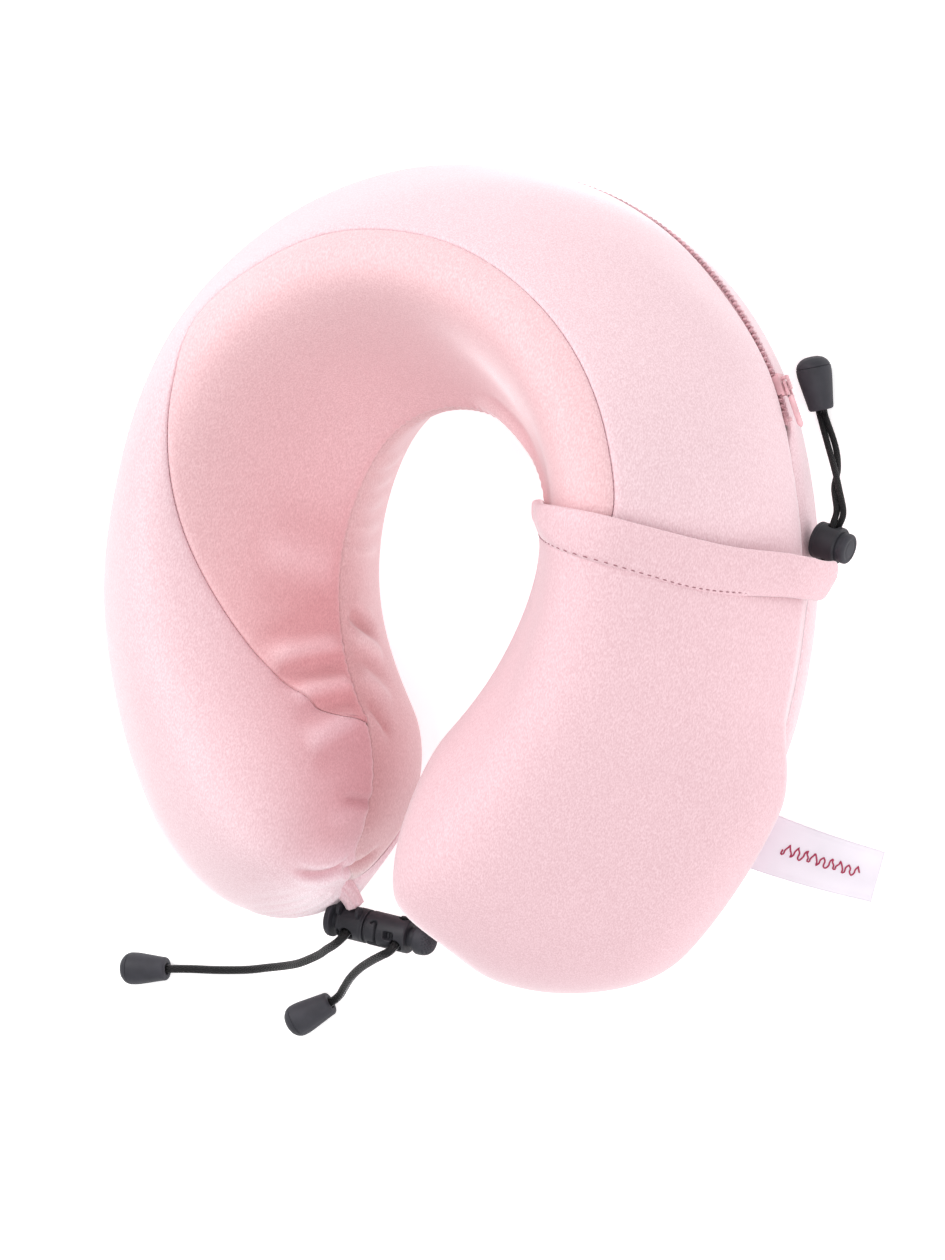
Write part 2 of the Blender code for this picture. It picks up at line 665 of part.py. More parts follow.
right_button = turned("clasp_right_button", (
    (0, 28.2), (4.6, 28.2), (5.6, 26.9), (5.8, 21.8), (5.2, 20.9), (STEM_R, 20.9), (STEM_R, 11.6), (0, 11.6)),
    RUBBER, clasp)
slot_way(right_button, "right", RIGHT_HOLE - 1.9, RIGHT_HOLE + 4.4)
coil("clasp_right_spring", 6.9, 11.3, 2.2, 0.35, 3, SPRING, clasp)


# ---- cords and cord ends --------------------------------------------------------------------
CORD = ((0.03, 0.03, 0.033), 0.8)
# Each front cord comes out of an arm end, runs through its half of the clasp and lies on the table
LEFT_CORD = ((-17.5, -236.6, 48.1), (-17.5, -240.2, 48.0), (-17.5, -242.6, 48.5), (-17.5, -244.2, 50.6),
             (-17.6, -246.4, 53.1), (-18.9, -248.8, 54.2), (-22.3, -251.6, 52.0), (-28.0, -255.0, 46.6),
             (-36.5, -259.9, 37.0), (-50.5, -267.0, 24.5), (-62.0, -271.5, 14.5), (-74.0, -275.6, 7.0),
             (-86.0, -279.5, 3.0), (-100.0, -282.8, 1.9), (-112.0, -285.0, 2.5))
RIGHT_ROOT = ((16.2, -230.6, 50.5), (12.2, -231.6, 50.0), (8.0, -232.7, 49.4), (5.3, -233.4, 48.9))
RIGHT_CORD = ((3.8, -235.3, 48.0), (3.8, -240.2, 48.0), (3.8, -242.6, 48.5), (3.8, -244.2, 50.6),
              (3.6, -246.5, 53.1), (2.0, -248.9, 54.0), (-1.8, -251.2, 51.8), (-10.2, -255.9, 43.5),
              (-19.9, -261.8, 33.0), (-28.8, -268.4, 22.5), (-35.8, -274.6, 13.0), (-40.8, -279.6, 6.8))
LEFT_BELL = ((-121, -286.8, 4.6), (-140.6, -290.7, 7.6))
RIGHT_BELL = ((-45.2, -283.4, 4.2), (-57, -293.1, 7.4))
POCKET_BELL = ((117.6, -23.6, 4.4), (112.0, -6.6, 7.4))


def bell(name, mouth, top):
    """A cord end from its mouth towards its round top: a shell and the cap that closes it."""
    mouth, top = Vector(mouth), Vector(top)
    axis = (top - mouth).normalized()
    frame = add_empty(name + "_axis", mouth, axis.to_track_quat("Z", "Y").to_matrix())
    turned(name, ((BELL_R, 16.0), (BELL_R, 13.0), (BELL_R - 0.5, 10.0), (BELL_MOUTH_R, 0.6),
                  (BELL_MOUTH_R - 0.4, 0), (BELL_BORE_R, 0), (BELL_BORE_R, 7.5), (4.0, 8.2), (4.0, 16.0)),
           RUBBER, frame, segments=16, closed=True)
    turned(name + "_cap", ((0, BELL_LENGTH), (3.2, BELL_LENGTH - 0.3), (5.4, BELL_LENGTH - 1.5),
                           (BELL_R - 0.1, 16.3), (3.7, 16.3), (3.7, 13.0), (0, 13.0)),
           RUBBER, frame, segments=16)


def knot(cord, at, radius):
    """Make the cord a mesh and join the knot that holds it in its cord end."""
    mesh = bpy.data.meshes.new_from_object(cord.evaluated_get(bpy.context.evaluated_depsgraph_get()))
    bm = bmesh.new()
    bm.from_mesh(mesh)
    bmesh.ops.remove_doubles(bm, verts=bm.verts, dist=0.00001)
    bm.to_mesh(mesh)
    bm.free()
    name, parent, world = cord.name, cord.parent, cord.matrix_world.copy()
    look = cord.data.materials[0]
    bpy.data.objects.remove(cord)
    made = bpy.data.objects.new(name, mesh)
    made.parent = parent
    made.matrix_world = world
    if not mesh.materials:
        mesh.materials.append(look)
    parts.objects.link(made)
    ball = bmesh.new()
    bmesh.ops.create_uvsphere(ball, u_segments=10, v_segments=6, radius=radius)
    bmesh.ops.translate(ball, vec=Vector(at), verts=ball.verts)
    boolean(made, solid(name + "_knot", ball), "UNION")


def along_bell(ends, distance):
    mouth, top = (Vector(e) for e in ends)
    return mouth + (top - mouth).normalized() * distance


for cord_name, route, ends in (("left_cord", LEFT_CORD, LEFT_BELL), ("right_cord", RIGHT_CORD, RIGHT_BELL)):
    bell(cord_name + "_bell", *ends)
    line = tube(cord_name, (*route, along_bell(ends, 1.0), along_bell(ends, KNOT_AT)), CORD_R, CORD, spacing=3.0)
    bpy.context.view_layer.update()
    knot(line, along_bell(ends, KNOT_AT), KNOT_R)
tube("right_cord_root", RIGHT_ROOT, CORD_R, CORD, spacing=4.0)
tube("left_end_tab", ((-21.4, -231.1, 53.0), (-19.8, -232.3, 51.5), (-17.8, -233.6, 50.2)), 3.0, TRIM, spacing=3.0)
tube("right_end_tab", ((21.2, -229.8, 52.4), (19.8, -230.1, 51.8), (18.0, -230.5, 51.2)), 2.8, TRIM, spacing=3.0)


# ---- pocket lock and drawcord ---------------------------------------------------------------
# Local Z points away from the pillow, local Y towards the back of the neck
side = Vector((0, 1, 0)).cross(LOCK_AXIS).normalized()
LOCK_TURN = Matrix((side, LOCK_AXIS.cross(side), LOCK_AXIS)).transposed()
lock = add_empty("lock_axis", LOCK_AT, LOCK_TURN)
body = turned("pocket_lock", (
    (0, -4.3), (LOCK_BORE, -4.3), (LOCK_BORE, 4.9), (LOCK_R - 0.6, 4.9), (LOCK_R, 4.3), (LOCK_R, -4.6),
    (LOCK_R - 0.6, -5.2), (0, -5.2)), RUBBER, lock)
boolean(body, block("lock_hole", (-3.95, -10, -1.7), (3.95, 10, 2.7), parent=lock))
press = turned("pocket_lock_button", (
    (0, 8.6), (4.8, 8.6), (5.6, 7.8), (5.6, 6.6), (LOCK_STEM, 6.3), (LOCK_STEM, -1.9), (0, -1.9)), RUBBER, lock)
boolean(press, block("lock_slot", (-3.8, -10, -1.0), (3.8, 10, 3.4), parent=lock))
coil("pocket_lock_spring", -4.2, -2.0, 3.6, 0.35, 2, SPRING, lock)


def strand_route(offset):
    """One strand of the drawcord, out of the hem, through the lock and into its cord end."""
    side_step = side * offset
    along = LOCK_TURN.col[1]
    straight = [LOCK_AT + LOCK_AXIS * 0.5 + along * reach + side_step for reach in (-8.0, 0, 7.5, 12.0)]
    free = [Vector(p) + side_step * share for p, share in (
        ((136.2, -50.6, 23.5), 1.0), ((131.6, -43.4, 16.0), 0.95), ((125.6, -35.6, 9.0), 0.9))]
    held = [along_bell(POCKET_BELL, depth) + side_step * 0.83 for depth in (-2.0, 1.0, KNOT_AT - 1.0)]
    return [*straight, *free, *held]


for strand_name, offset in (("pocket_cord_upper", -STRAND), ("pocket_cord_lower", STRAND)):
    tube(strand_name, strand_route(offset), STRAND_R, CORD, spacing=6.0)
bell("pocket_cord_bell", *POCKET_BELL)
hem_route = [skin(hem_line(t) + hem_width(t) * 0.4, t, -3.2 - HEM_NOSE * 0.775 * standing_out(t, NOSE_FALL))
             for t in POCKET_T[1:-1]]
tube("hem_cord", hem_route, STRAND_R - 0.2, CORD, resolution=1, spacing=None)

# ---- side label -----------------------------------------------------------------------------
def side_label(steps=8):
    """A folded satin tag held in the seam above the base of the pocket's arm, which droops a little."""
    points = []
    for i in range(steps + 1):
        along = max(i - 1, 0) / (steps - 1)
        for s, outer in zip(LABEL_S, LABEL_OUT):
            root = Vector(skin(s, ZIP_SEAM, LABEL_TUCK if i == 0 else -SEAM_GAP))
            root.z += LABEL_THICKNESS / 2
            points.append(root + (Vector(outer) - root) * along + Vector((0, 0, LABEL_DROOP * sin(pi * along))))
    tag = add_mesh("side_label", points, grid_faces(steps + 1, 2), (PALE_PINK, 0.4))
    solidify(tag, LABEL_THICKNESS)


side_label()
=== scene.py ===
"""Looks of the u shaped neck pillow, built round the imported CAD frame: a velour cover with sewn seams,
a drawstring pocket, a zip, a cord-lock clasp and braided cords. Lengths here are in millimetres, and meshes are
made in metres. The camera and the cords' routes come first."""
from math import cos, pi, radians, sin, sqrt

import bmesh
import bpy
import numpy as np
from mathutils import Matrix, Vector


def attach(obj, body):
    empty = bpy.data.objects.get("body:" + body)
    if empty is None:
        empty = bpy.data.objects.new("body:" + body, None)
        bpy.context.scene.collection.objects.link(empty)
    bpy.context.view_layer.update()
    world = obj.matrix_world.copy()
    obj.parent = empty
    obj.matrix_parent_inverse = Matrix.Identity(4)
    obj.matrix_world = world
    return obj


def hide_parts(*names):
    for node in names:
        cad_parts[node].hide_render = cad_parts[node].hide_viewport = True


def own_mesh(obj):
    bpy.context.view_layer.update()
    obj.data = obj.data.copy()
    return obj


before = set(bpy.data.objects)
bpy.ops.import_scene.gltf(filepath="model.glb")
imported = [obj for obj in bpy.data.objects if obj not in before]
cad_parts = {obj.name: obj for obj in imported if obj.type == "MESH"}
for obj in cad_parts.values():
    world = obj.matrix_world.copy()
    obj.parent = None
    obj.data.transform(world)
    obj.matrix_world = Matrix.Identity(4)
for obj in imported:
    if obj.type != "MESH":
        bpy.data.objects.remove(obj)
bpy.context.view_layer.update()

MM = 0.001
rng = np.random.default_rng(7)

# ---- camera: straight down on the pillow, leaning over its pocket side -------------------------
LENS_MM = 103.5
TILT, LEAN, ROLL = radians(27.52), radians(3.56), radians(9.10)
CAMERA_DISTANCE = 1339.0
LOOK_AT = np.array((0.0, -103.1, 60.0))
AIM_OFFSET = (12.9, -23.4)       # the middle of the view, right and up of that point

# ---- cords, the same routes as the CAD solids --------------------------------------------------
CORD_R = 1.6
STRAND = 1.5                     # half the distance between the pocket cord's strands
STRAND_R = 1.15
LEFT_CORD = ((-17.5, -236.6, 48.1), (-17.5, -240.2, 48.0), (-17.5, -242.6, 48.5), (-17.5, -244.2, 50.6),
             (-17.6, -246.4, 53.1), (-18.9, -248.8, 54.2), (-22.3, -251.6, 52.0), (-28.0, -255.0, 46.6),
             (-36.5, -259.9, 37.0), (-50.5, -267.0, 24.5), (-62.0, -271.5, 14.5), (-74.0, -275.6, 7.0),
             (-86.0, -279.5, 3.0), (-100.0, -282.8, 1.9), (-112.0, -285.0, 2.5))
RIGHT_ROOT = ((16.2, -230.6, 50.5), (12.2, -231.6, 50.0), (8.0, -232.7, 49.4), (5.3, -233.4, 48.9))
RIGHT_CORD = ((3.8, -235.3, 48.0), (3.8, -240.2, 48.0), (3.8, -242.6, 48.5), (3.8, -244.2, 50.6),
              (3.6, -246.5, 53.1), (2.0, -248.9, 54.0), (-1.8, -251.2, 51.8), (-10.2, -255.9, 43.5),
              (-19.9, -261.8, 33.0), (-28.8, -268.4, 22.5), (-35.8, -274.6, 13.0), (-40.8, -279.6, 6.8))
LEFT_BELL = ((-121, -286.8, 4.6), (-140.6, -290.7, 7.6))
RIGHT_BELL = ((-45.2, -283.4, 4.2), (-57, -293.1, 7.4))
POCKET_BELL = ((117.6, -23.6, 4.4), (112.0, -6.6, 7.4))
KNOT_AT = 10.3

# ---- the cover's surface, as in the CAD --------------------------------------------------------
ARCS = ((83.0, 66.0), (141.0, 141.0), (95.0, 152.0))
HALF_WIDTH = (45.5, 50.5)
HEIGHT = (127.0, 107.5)
ARM_BLEND = (64.0, 130.0)
DOME_LENGTH, DOME_POWER, DOME_RISE, DOME_CENTRE = 59.0, 2.07, 0.59, 0.52
SECTION_BACK = np.array(((-0.55, 0), (0, 0), (0.55, 0), (0.95, 0), (1.10, 0.39), (0.84, 0.76),
                         (0.20, 1.10), (-0.29, 0.98), (-0.85, 0.45), (-1.08, 0.46), (-0.67, 0)))
SECTION_ARM = np.array(((-0.55, 0), (0, 0), (0.55, 0), (0.95, 0), (1.10, 0.39), (0.90, 0.76),
                        (0.08, 1.10), (-0.28, 1.08), (-0.81, 0.85), (-1.02, 0.43), (-0.88, 0)))
TURN = len(SECTION_BACK)
ZIP_SEAM, CROWN_SEAM, INNER_SEAM, BASE_SEAM = 3.7, 5.78, 8.8, 10.15
CROWN_START, CROWN_END, CROWN_SOFT, CROWN_HOLD = (54.0, 76.0), 131.0, 0.05, 0.155
FACE_END = 129.0
HEM_ANGLE, HEM_SLANT, HEM_WIDTH, HEM_TAPER, HEM_NOSE = 74.8, 15.0, 15.5, 5.0, 8.5
POUCH, POUCH_SPAN = 10.0, (172.0, 288.0)
POCKET_LOW, POCKET_HIGH = ZIP_SEAM + 0.05, BASE_SEAM - 0.05
ZIP_HALF_ANGLE, ZIP_OPENING, ZIP_RUNOUT = 66.0, 3.6, 6.0
SLIDER_ANGLE, STOP_ANGLE = 59.7, 65.2


def arc_length(until):
    """Distance along the centreline from the back of the neck to an angle in degrees."""
    total, begin = 0.0, 0.0
    for radius, end in ARCS:
        total += radius * radians(max(0.0, min(until, end) - begin))
        begin = end
    return total


HALF_LENGTH = arc_length(ARCS[-1][1])
ZIP_END = arc_length(ZIP_HALF_ANGLE)
FACE_S = arc_length(FACE_END)


def smooth(v):
    v = np.clip(v, 0.0, 1.0)
    return v * v * (3 - 2 * v)


def centreline(s):
    """Points and outward angles at distances s from the back of the neck, +X side positive."""
    left, x, y = np.abs(s), 0.0, 0.0
    angle, begin = np.zeros_like(left), 0.0
    for radius, end in ARCS:
        end = radians(end)
        step = np.clip(left, 0.0, radius * (end - begin))
        until = begin + step / radius
        x = x + radius * (np.sin(until) - sin(begin))
        y = y + radius * (np.cos(until) - cos(begin))
        angle = np.where(step > 0, until, angle)
        left = left - step
        begin = end
    side = np.sign(s)
    return side * x, y, side * angle


def spline(points, t):
    """Closed uniform cubic B-spline of the section's outline."""
    i = np.floor(t).astype(int)
    f = (t - i)[..., None]
    weights = ((1 - f) ** 3 / 6, (3 * f ** 3 - 6 * f ** 2 + 4) / 6,
               (-3 * f ** 3 + 3 * f ** 2 + 3 * f + 1) / 6, f ** 3 / 6)
    return sum(w * points[(i - 1 + k) % TURN] for k, w in enumerate(weights))


def skin_point(s, t):
    """Points of the cover's outside at distances s along the centreline and t round the section."""
    s, t = np.broadcast_arrays(np.asarray(s, float), np.asarray(t, float))
    x, y, angle = centreline(s)
    low, high = ARM_BLEND
    blend = smooth((np.degrees(np.abs(angle)) - low) / (high - low))
    half_width, height = (a + (b - a) * blend for a, b in (HALF_WIDTH, HEIGHT))
    outline = spline(SECTION_BACK, t) + (spline(SECTION_ARM, t) - spline(SECTION_BACK, t)) * blend[..., None]
    closing = np.clip((HALF_LENGTH - np.abs(s)) / DOME_LENGTH, 0.0, 1.0)
    dome = (1 - (1 - closing) ** DOME_POWER) ** (1 / DOME_POWER)
    centre = DOME_CENTRE * height
    z = centre + (outline[..., 1] * height - centre) * dome ** DOME_RISE
    n = outline[..., 0] * half_width * dome
    return np.stack((x + np.sin(angle) * n, y + np.cos(angle) * n, z), axis=-1)


def unit(v):
    return v / np.maximum(np.linalg.norm(v, axis=-1, keepdims=True), 1e-9)


def skin_normal(s, t):
    s = np.clip(s, 0.3 - HALF_LENGTH, HALF_LENGTH - 0.3)
    along = skin_point(s + 0.1, t) - skin_point(s - 0.1, t)
    up = skin_point(s, t + 0.01) - skin_point(s, t - 0.01)
    return unit(np.cross(up, along))


def over_skin(s, t, height):
    """Points at a height over the CAD skin."""
    return skin_point(s, t) + skin_normal(s, t) * np.asarray(height)[..., None]


def walked_along(points):
    """Distance from the first point to each point, along them."""
    return np.concatenate(([0.0], np.cumsum(np.linalg.norm(np.diff(points, axis=0), axis=1))))


def section_speed(s, t):
    """Millimetres round the section for each unit of t."""
    return np.maximum(np.linalg.norm(skin_point(s, t + 0.02) - skin_point(s, t - 0.02), axis=-1) / 0.04, 3.0)


def crown_seam(s):
    start = np.where(s < 0, *CROWN_START)
    share = (np.degrees(np.abs(centreline(s)[2])) - start) / (CROWN_END - start)
    cross = np.minimum(0.5 * (share + np.sqrt(share ** 2 + CROWN_SOFT ** 2)), 1.0)
    free = CROWN_SEAM + (INNER_SEAM - CROWN_SEAM) * cross * (1 - CROWN_HOLD + CROWN_HOLD * cross ** 8)
    ending = smooth((np.abs(s) - FACE_S + 6.0) / 6.0)
    return free + (INNER_SEAM - free) * ending


def hem_line(t):
    return arc_length(HEM_ANGLE) + HEM_SLANT * spline(SECTION_BACK, t % TURN)[..., 0]


def hem_width(t):
    return HEM_WIDTH - HEM_TAPER * smooth((5.4 - t) / 1.2)


def standing_out(t, rise, fall):
    """Share of the height that the pocket's outer side stands out by, falling off over the arm's top."""
    return smooth((t - POCKET_LOW) / rise) * (1 - smooth((t - POCKET_LOW - 0.4) / fall))


def hem_standing_out(t):
    """How much more the hem stands out near its outer end."""
    return HEM_NOSE * standing_out(t + 0.25, 0.1, 1.0)


def pouch(s, t):
    """How far the loose pocket stands out near the arm's outer corner."""
    begin, end = POUCH_SPAN
    return POUCH * smooth((s - begin) / 26.0) * smooth((end - s) / 46.0) * standing_out(t, 0.14, 1.3)


def zip_gap(s):
    closed = np.clip((np.abs(s) - ZIP_END) / ZIP_RUNOUT, 0.0, 1.0)
    return ZIP_OPENING * (1 - closed) + 0.06 * closed


# ---- small helpers -----------------------------------------------------------------------------
def node_of(tree, kind, **inputs):
    """Add a node, and set its inputs by name: a value, or a socket to link from."""
    made = tree.nodes.new(kind)
    for name, value in inputs.items():
        socket = made.inputs[name.replace("_", " ")] if name.replace("_", " ") in made.inputs else None
        if socket is None:
            setattr(made, name, value)
        elif isinstance(value, bpy.types.NodeSocket):
            tree.links.new(value, socket)
        else:
            socket.default_value = value
    return made


def new_material(name, colour, roughness, **sockets):
    """A Principled material and its node tree. Sockets are named with underscores for spaces."""
    look = bpy.data.materials.new(name)
    look.use_nodes = True
    tree = look.node_tree
    shader = tree.nodes["Principled BSDF"]
    shader.inputs["Base Color"].default_value = (*colour, 1.0)
    shader.inputs["Roughness"].default_value = roughness
    for key, value in sockets.items():
        shader.inputs[key.replace("_", " ")].default_value = value
    return look, tree, shader


def place_noise(tree, scale, stretch=(1, 1, 1), detail=2.0, turn=(0, 0, 0), source="Object"):
    """Noise in the row frame, scale in features per metre."""
    coords = tree.nodes.new("ShaderNodeTexCoord")
    mapping = node_of(tree, "ShaderNodeMapping", Vector=coords.outputs[source])
    mapping.inputs["Scale"].default_value = stretch
    mapping.inputs["Rotation"].default_value = turn
    noise = node_of(tree, "ShaderNodeTexNoise", Vector=mapping.outputs["Vector"], Scale=scale, Detail=detail)
    return noise.outputs["Fac"]


def ramp(tree, value, *stops):
    """A colour ramp of (position, colour) stops."""
    made = node_of(tree, "ShaderNodeValToRGB", Fac=value)
    bands = made.color_ramp.elements
    while len(bands) < len(stops):
        bands.new(0.5)
    for band, (position, colour) in zip(bands, stops):
        band.position = position
        band.color = (*colour, 1.0) if len(colour) == 3 else colour
    return made.outputs["Color"]


def shade(colour, factor):
    return tuple(min(c * factor, 1.0) for c in colour)


def tint_by(tree, shader, value, colour, *stops):
    """Shade a colour by a value, with (value, factor) stops."""
    tree.links.new(ramp(tree, value, *((place, shade(colour, factor)) for place, factor in stops)),
                   shader.inputs["Base Color"])


def roughen_by(tree, shader, value, low, high):
    """Let a value move the roughness between two limits."""
    rough = node_of(tree, "ShaderNodeMapRange", Value=value)
    rough.inputs["To Min"].default_value = low
    rough.inputs["To Max"].default_value = high
    tree.links.new(rough.outputs["Result"], shader.inputs["Roughness"])


def add_bumps(tree, shader, *bumps):
    """Chain bump nodes: (height socket, strength, distance in millimetres)."""
    normal = None
    for height, strength, distance in bumps:
        bump = node_of(tree, "ShaderNodeBump", Height=height, Strength=strength, Distance=distance * MM)
        if normal is not None:
            tree.links.new(normal, bump.inputs["Normal"])
        normal = bump.outputs["Normal"]
    tree.links.new(normal, shader.inputs["Normal"])


NAP_FLECKS = ((0.32, (0.93, 0.89, 0.90)), (0.50, (1.0, 1.0, 1.0)), (0.70, (1.09, 1.14, 1.14)))
# Painted shade in deep folds and a painted highlight on raised ones, multiplied into the velour's colour
FOLD_SHADE_AND_HIGHLIGHT_TINTS = ((0.0, (0.84, 0.69, 0.69)), (0.5, (1.0, 1.0, 1.0)), (1.0, (1.12, 1.30, 1.28)))    # deep, level, raised


def velour(name, colour, nap_turn=0.0):
    """Short pile velour: fine flecks of nap, soft patches of lighter pile and a bright sheen. The mesh's own "relief"
    values paint shade into its folds and along the arms' inner rims, and a painted highlight onto its raised folds."""
    look, tree, shader = new_material(name, colour, 0.9, Sheen_Weight=0.85, Sheen_Roughness=0.34,
                                      Sheen_Tint=(1.0, 0.95, 0.97, 1.0), Specular_IOR_Level=0.06)
    patches = place_noise(tree, 11.0, detail=3.0)
    streaks = place_noise(tree, 2300.0, (1.0, 0.4, 0.8), 1.0, (0, 0, nap_turn))
    pile = place_noise(tree, 3200.0, detail=1.0)
    # painted shade in folds and along the inner rims, painted highlight on raised folds, from the mesh's "relief"
    # values
    relief = node_of(tree, "ShaderNodeAttribute", attribute_name="relief")
    layers = (ramp(tree, patches, (0.30, shade(colour, 0.97)), (0.70, shade(colour, 1.03))),
              ramp(tree, streaks, *NAP_FLECKS), ramp(tree, relief.outputs["Fac"], *FOLD_SHADE_AND_HIGHLIGHT_TINTS))
    mixed = layers[0]
    for layer in layers[1:]:
        mix = node_of(tree, "ShaderNodeMix", data_type="RGBA", blend_type="MULTIPLY")
        mix.inputs["Factor"].default_value = 1.0
        tree.links.new(mixed, mix.inputs["A"])
        tree.links.new(layer, mix.inputs["B"])
        mixed = mix.outputs["Result"]
    tree.links.new(mixed, shader.inputs["Base Color"])
    add_bumps(tree, shader, (streaks, 0.45, 0.22), (pile, 0.3, 0.12))
    return look


FOLD_RANGE = 5.0                 # from the deepest fold to the highest


def set_fold_shade(piece, depth=0.0):
    """Keep how far each point lies in a fold, from 0 in the deepest to 1 on the highest, which the velour paints as
    shade in folds and as a highlight on ridges.
    """
    values = piece.data.attributes.new("relief", "FLOAT", "POINT")
    depth = np.broadcast_to(np.asarray(depth, np.float32).ravel(), len(piece.data.vertices))
    values.data.foreach_set("value", np.clip(0.5 - depth / FOLD_RANGE, 0.0, 1.0))


def mesh_object(name, points, faces, look, body, replaces=(), smooth_shading=True, uv=None):
    """A piece from points in millimetres in the row frame, riding on a CAD body."""
    mesh = bpy.data.meshes.new(name)
    mesh.from_pydata((np.asarray(points, float).reshape(-1, 3) * MM).tolist(), [], [list(map(int, f)) for f in faces])
    if uv is not None:
        layer = mesh.uv_layers.new(name="along")
        corner = np.zeros(len(mesh.loops), np.int32)
        mesh.loops.foreach_get("vertex_index", corner)
        layer.data.foreach_set("uv", np.asarray(uv, np.float32)[corner].ravel())
    mesh.polygons.foreach_set("use_smooth", [smooth_shading] * len(mesh.polygons))
    mesh.materials.append(look)
    made = bpy.data.objects.new(name, mesh)
    bpy.context.scene.collection.objects.link(made)
    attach(made, body)
    if replaces:
        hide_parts(*replaces)
    return made


def grid_faces(rows, columns, wrap_rows=False, wrap_columns=False, flip=False):
    """Quads of a grid of points, rows by columns."""
    i, j = np.meshgrid(np.arange(rows if wrap_rows else rows - 1),
                       np.arange(columns if wrap_columns else columns - 1), indexing="ij")
    a, b = i * columns + j, i * columns + (j + 1) % columns
    c, d = (i + 1) % rows * columns + (j + 1) % columns, (i + 1) % rows * columns + j
    quads = np.stack((a, b, c, d), axis=-1).reshape(-1, 4)
    return quads[:, ::-1] if flip else quads


def solidify(piece, thickness):
    shell = piece.modifiers.new("thickness", "SOLIDIFY")
    shell.thickness = thickness * MM
    shell.offset = -1.0
    return piece


# ---- materials ---------------------------------------------------------------------------------
# The panels' pinks are copies of one velour; the side and base panels' pink is painted paler than the face's, painted
# light and sheen on them
FACE_PINK = (0.80, 0.525, 0.55)
SIDE_PINK_PAINTED_PALER = (0.795, 0.575, 0.615)
INNER_PINK = (0.75, 0.545, 0.555)
POCKET_PINK = (0.765, 0.52, 0.56)
STITCH_PINK = (0.36, 0.16, 0.19)
TAPE_PINK = (0.60, 0.33, 0.37)

VELOUR_FACE = velour("velour_face", FACE_PINK)
VELOUR_POCKET = velour("velour_pocket", POCKET_PINK, 0.2)
VELOUR_SIDE = velour("velour_side", SIDE_PINK_PAINTED_PALER, 0.5)
VELOUR_INNER = velour("velour_inner", INNER_PINK)
VELOUR_BASE = velour("velour_base", SIDE_PINK_PAINTED_PALER)


def plain_cloth(name, colour, threads, roughness=0.8):
    """A flat woven ribbon or tape, threads a metre."""
    look, tree, shader = new_material(name, colour, roughness, Sheen_Weight=0.4, Specular_IOR_Level=0.25)
    weave = place_noise(tree, threads, (1, 1, 0.25), 1.0)
    across = place_noise(tree, threads, (0.25, 0.25, 1), 1.0)
    tint_by(tree, shader, weave, colour, (0.3, 0.86), (0.7, 1.08))
    add_bumps(tree, shader, (weave, 0.4, 0.2), (across, 0.4, 0.2))
    return look


def moulded(name, colour, roughness, texture=2600.0):
    """Matte moulded plastic with a fine spark-eroded surface and faint wear."""
    look, tree, shader = new_material(name, colour, roughness, Specular_IOR_Level=0.35)
    grain = place_noise(tree, texture, detail=2.0)
    worn = place_noise(tree, 130.0, detail=3.0)
    tint_by(tree, shader, worn, colour, (0.35, 0.85), (0.7, 1.2))
    roughen_by(tree, shader, worn, roughness - 0.07, roughness + 0.09)
    add_bumps(tree, shader, (grain, 0.25, 0.06))
    return look


def metal(name, colour, roughness):
    look, tree, shader = new_material(name, colour, roughness, Metallic=1.0)
    scratches = place_noise(tree, 900.0, (1, 1, 0.1), 2.0)
    roughen_by(tree, shader, scratches, roughness - 0.08, roughness + 0.12)
    add_bumps(tree, shader, (scratches, 0.1, 0.03))
    return look


YARNS, YARN_PITCH = 8, 2.4       # yarns each way round the cord, and the length of a turn's weave
# black yarn, and the grey of its painted highlight
YARN_BLACK, YARN_HIGHLIGHT_GREY = (0.008, 0.008, 0.009), (0.30, 0.30, 0.32)


def braid(name):
    """Black braided cord: two helical yarn families, and a painted highlight of pale grey on the yarns' crowns along
    two lines down it, on the tube's own UVs.
    """
    look, tree, shader = new_material(name, YARN_BLACK, 0.55, Specular_IOR_Level=0.25)
    uv = node_of(tree, "ShaderNodeUVMap", uv_map="along")
    parts = node_of(tree, "ShaderNodeSeparateXYZ", Vector=uv.outputs["UV"])

    def maths(operation, a, b=0.0):
        made = node_of(tree, "ShaderNodeMath", operation=operation)
        for socket, value in zip(made.inputs, (a, b)):
            if isinstance(value, bpy.types.NodeSocket):
                tree.links.new(value, socket)
            else:
                socket.default_value = value
        return made.outputs["Value"]

    around, along = parts.outputs["X"], parts.outputs["Y"]
    yarns = []
    for lean in (1.0, -1.0):
        phase = maths("ADD", maths("MULTIPLY", around, YARNS * 2 * pi),
                      maths("MULTIPLY", along, lean * 2 * pi / YARN_PITCH))
        yarns.append(maths("SINE", phase))
    weave = maths("MAXIMUM", *yarns)
    # painted highlight: pale grey on the yarns' crowns along two lines down the cord
    glint_line = maths("COSINE", maths("MULTIPLY", around, 2 * 2 * pi))
    glint = maths("MULTIPLY", maths("GREATER_THAN", glint_line, 0.90), maths("GREATER_THAN", weave, 0.55))
    tint = ramp(tree, glint, (0.0, YARN_BLACK), (1.0, YARN_HIGHLIGHT_GREY))
    tree.links.new(tint, shader.inputs["Base Color"])
    add_bumps(tree, shader, (weave, 0.6, 0.25))
    return look


def satin(name, colour):
    """Woven satin ribbon: fine ribs across it and a soft shine."""
    look, tree, shader = new_material(name, colour, 0.38, Specular_IOR_Level=0.5, Sheen_Weight=0.3,
                                      Anisotropic=0.5)
    ribs = place_noise(tree, 1700.0, (1.0, 0.12, 1.0), 1.0, (0, 0, 0.2))
    cloud = place_noise(tree, 60.0, detail=2.0)
    tint_by(tree, shader, cloud, colour, (0.35, 0.97), (0.65, 1.03))
    add_bumps(tree, shader, (ribs, 0.25, 0.1))
    return look


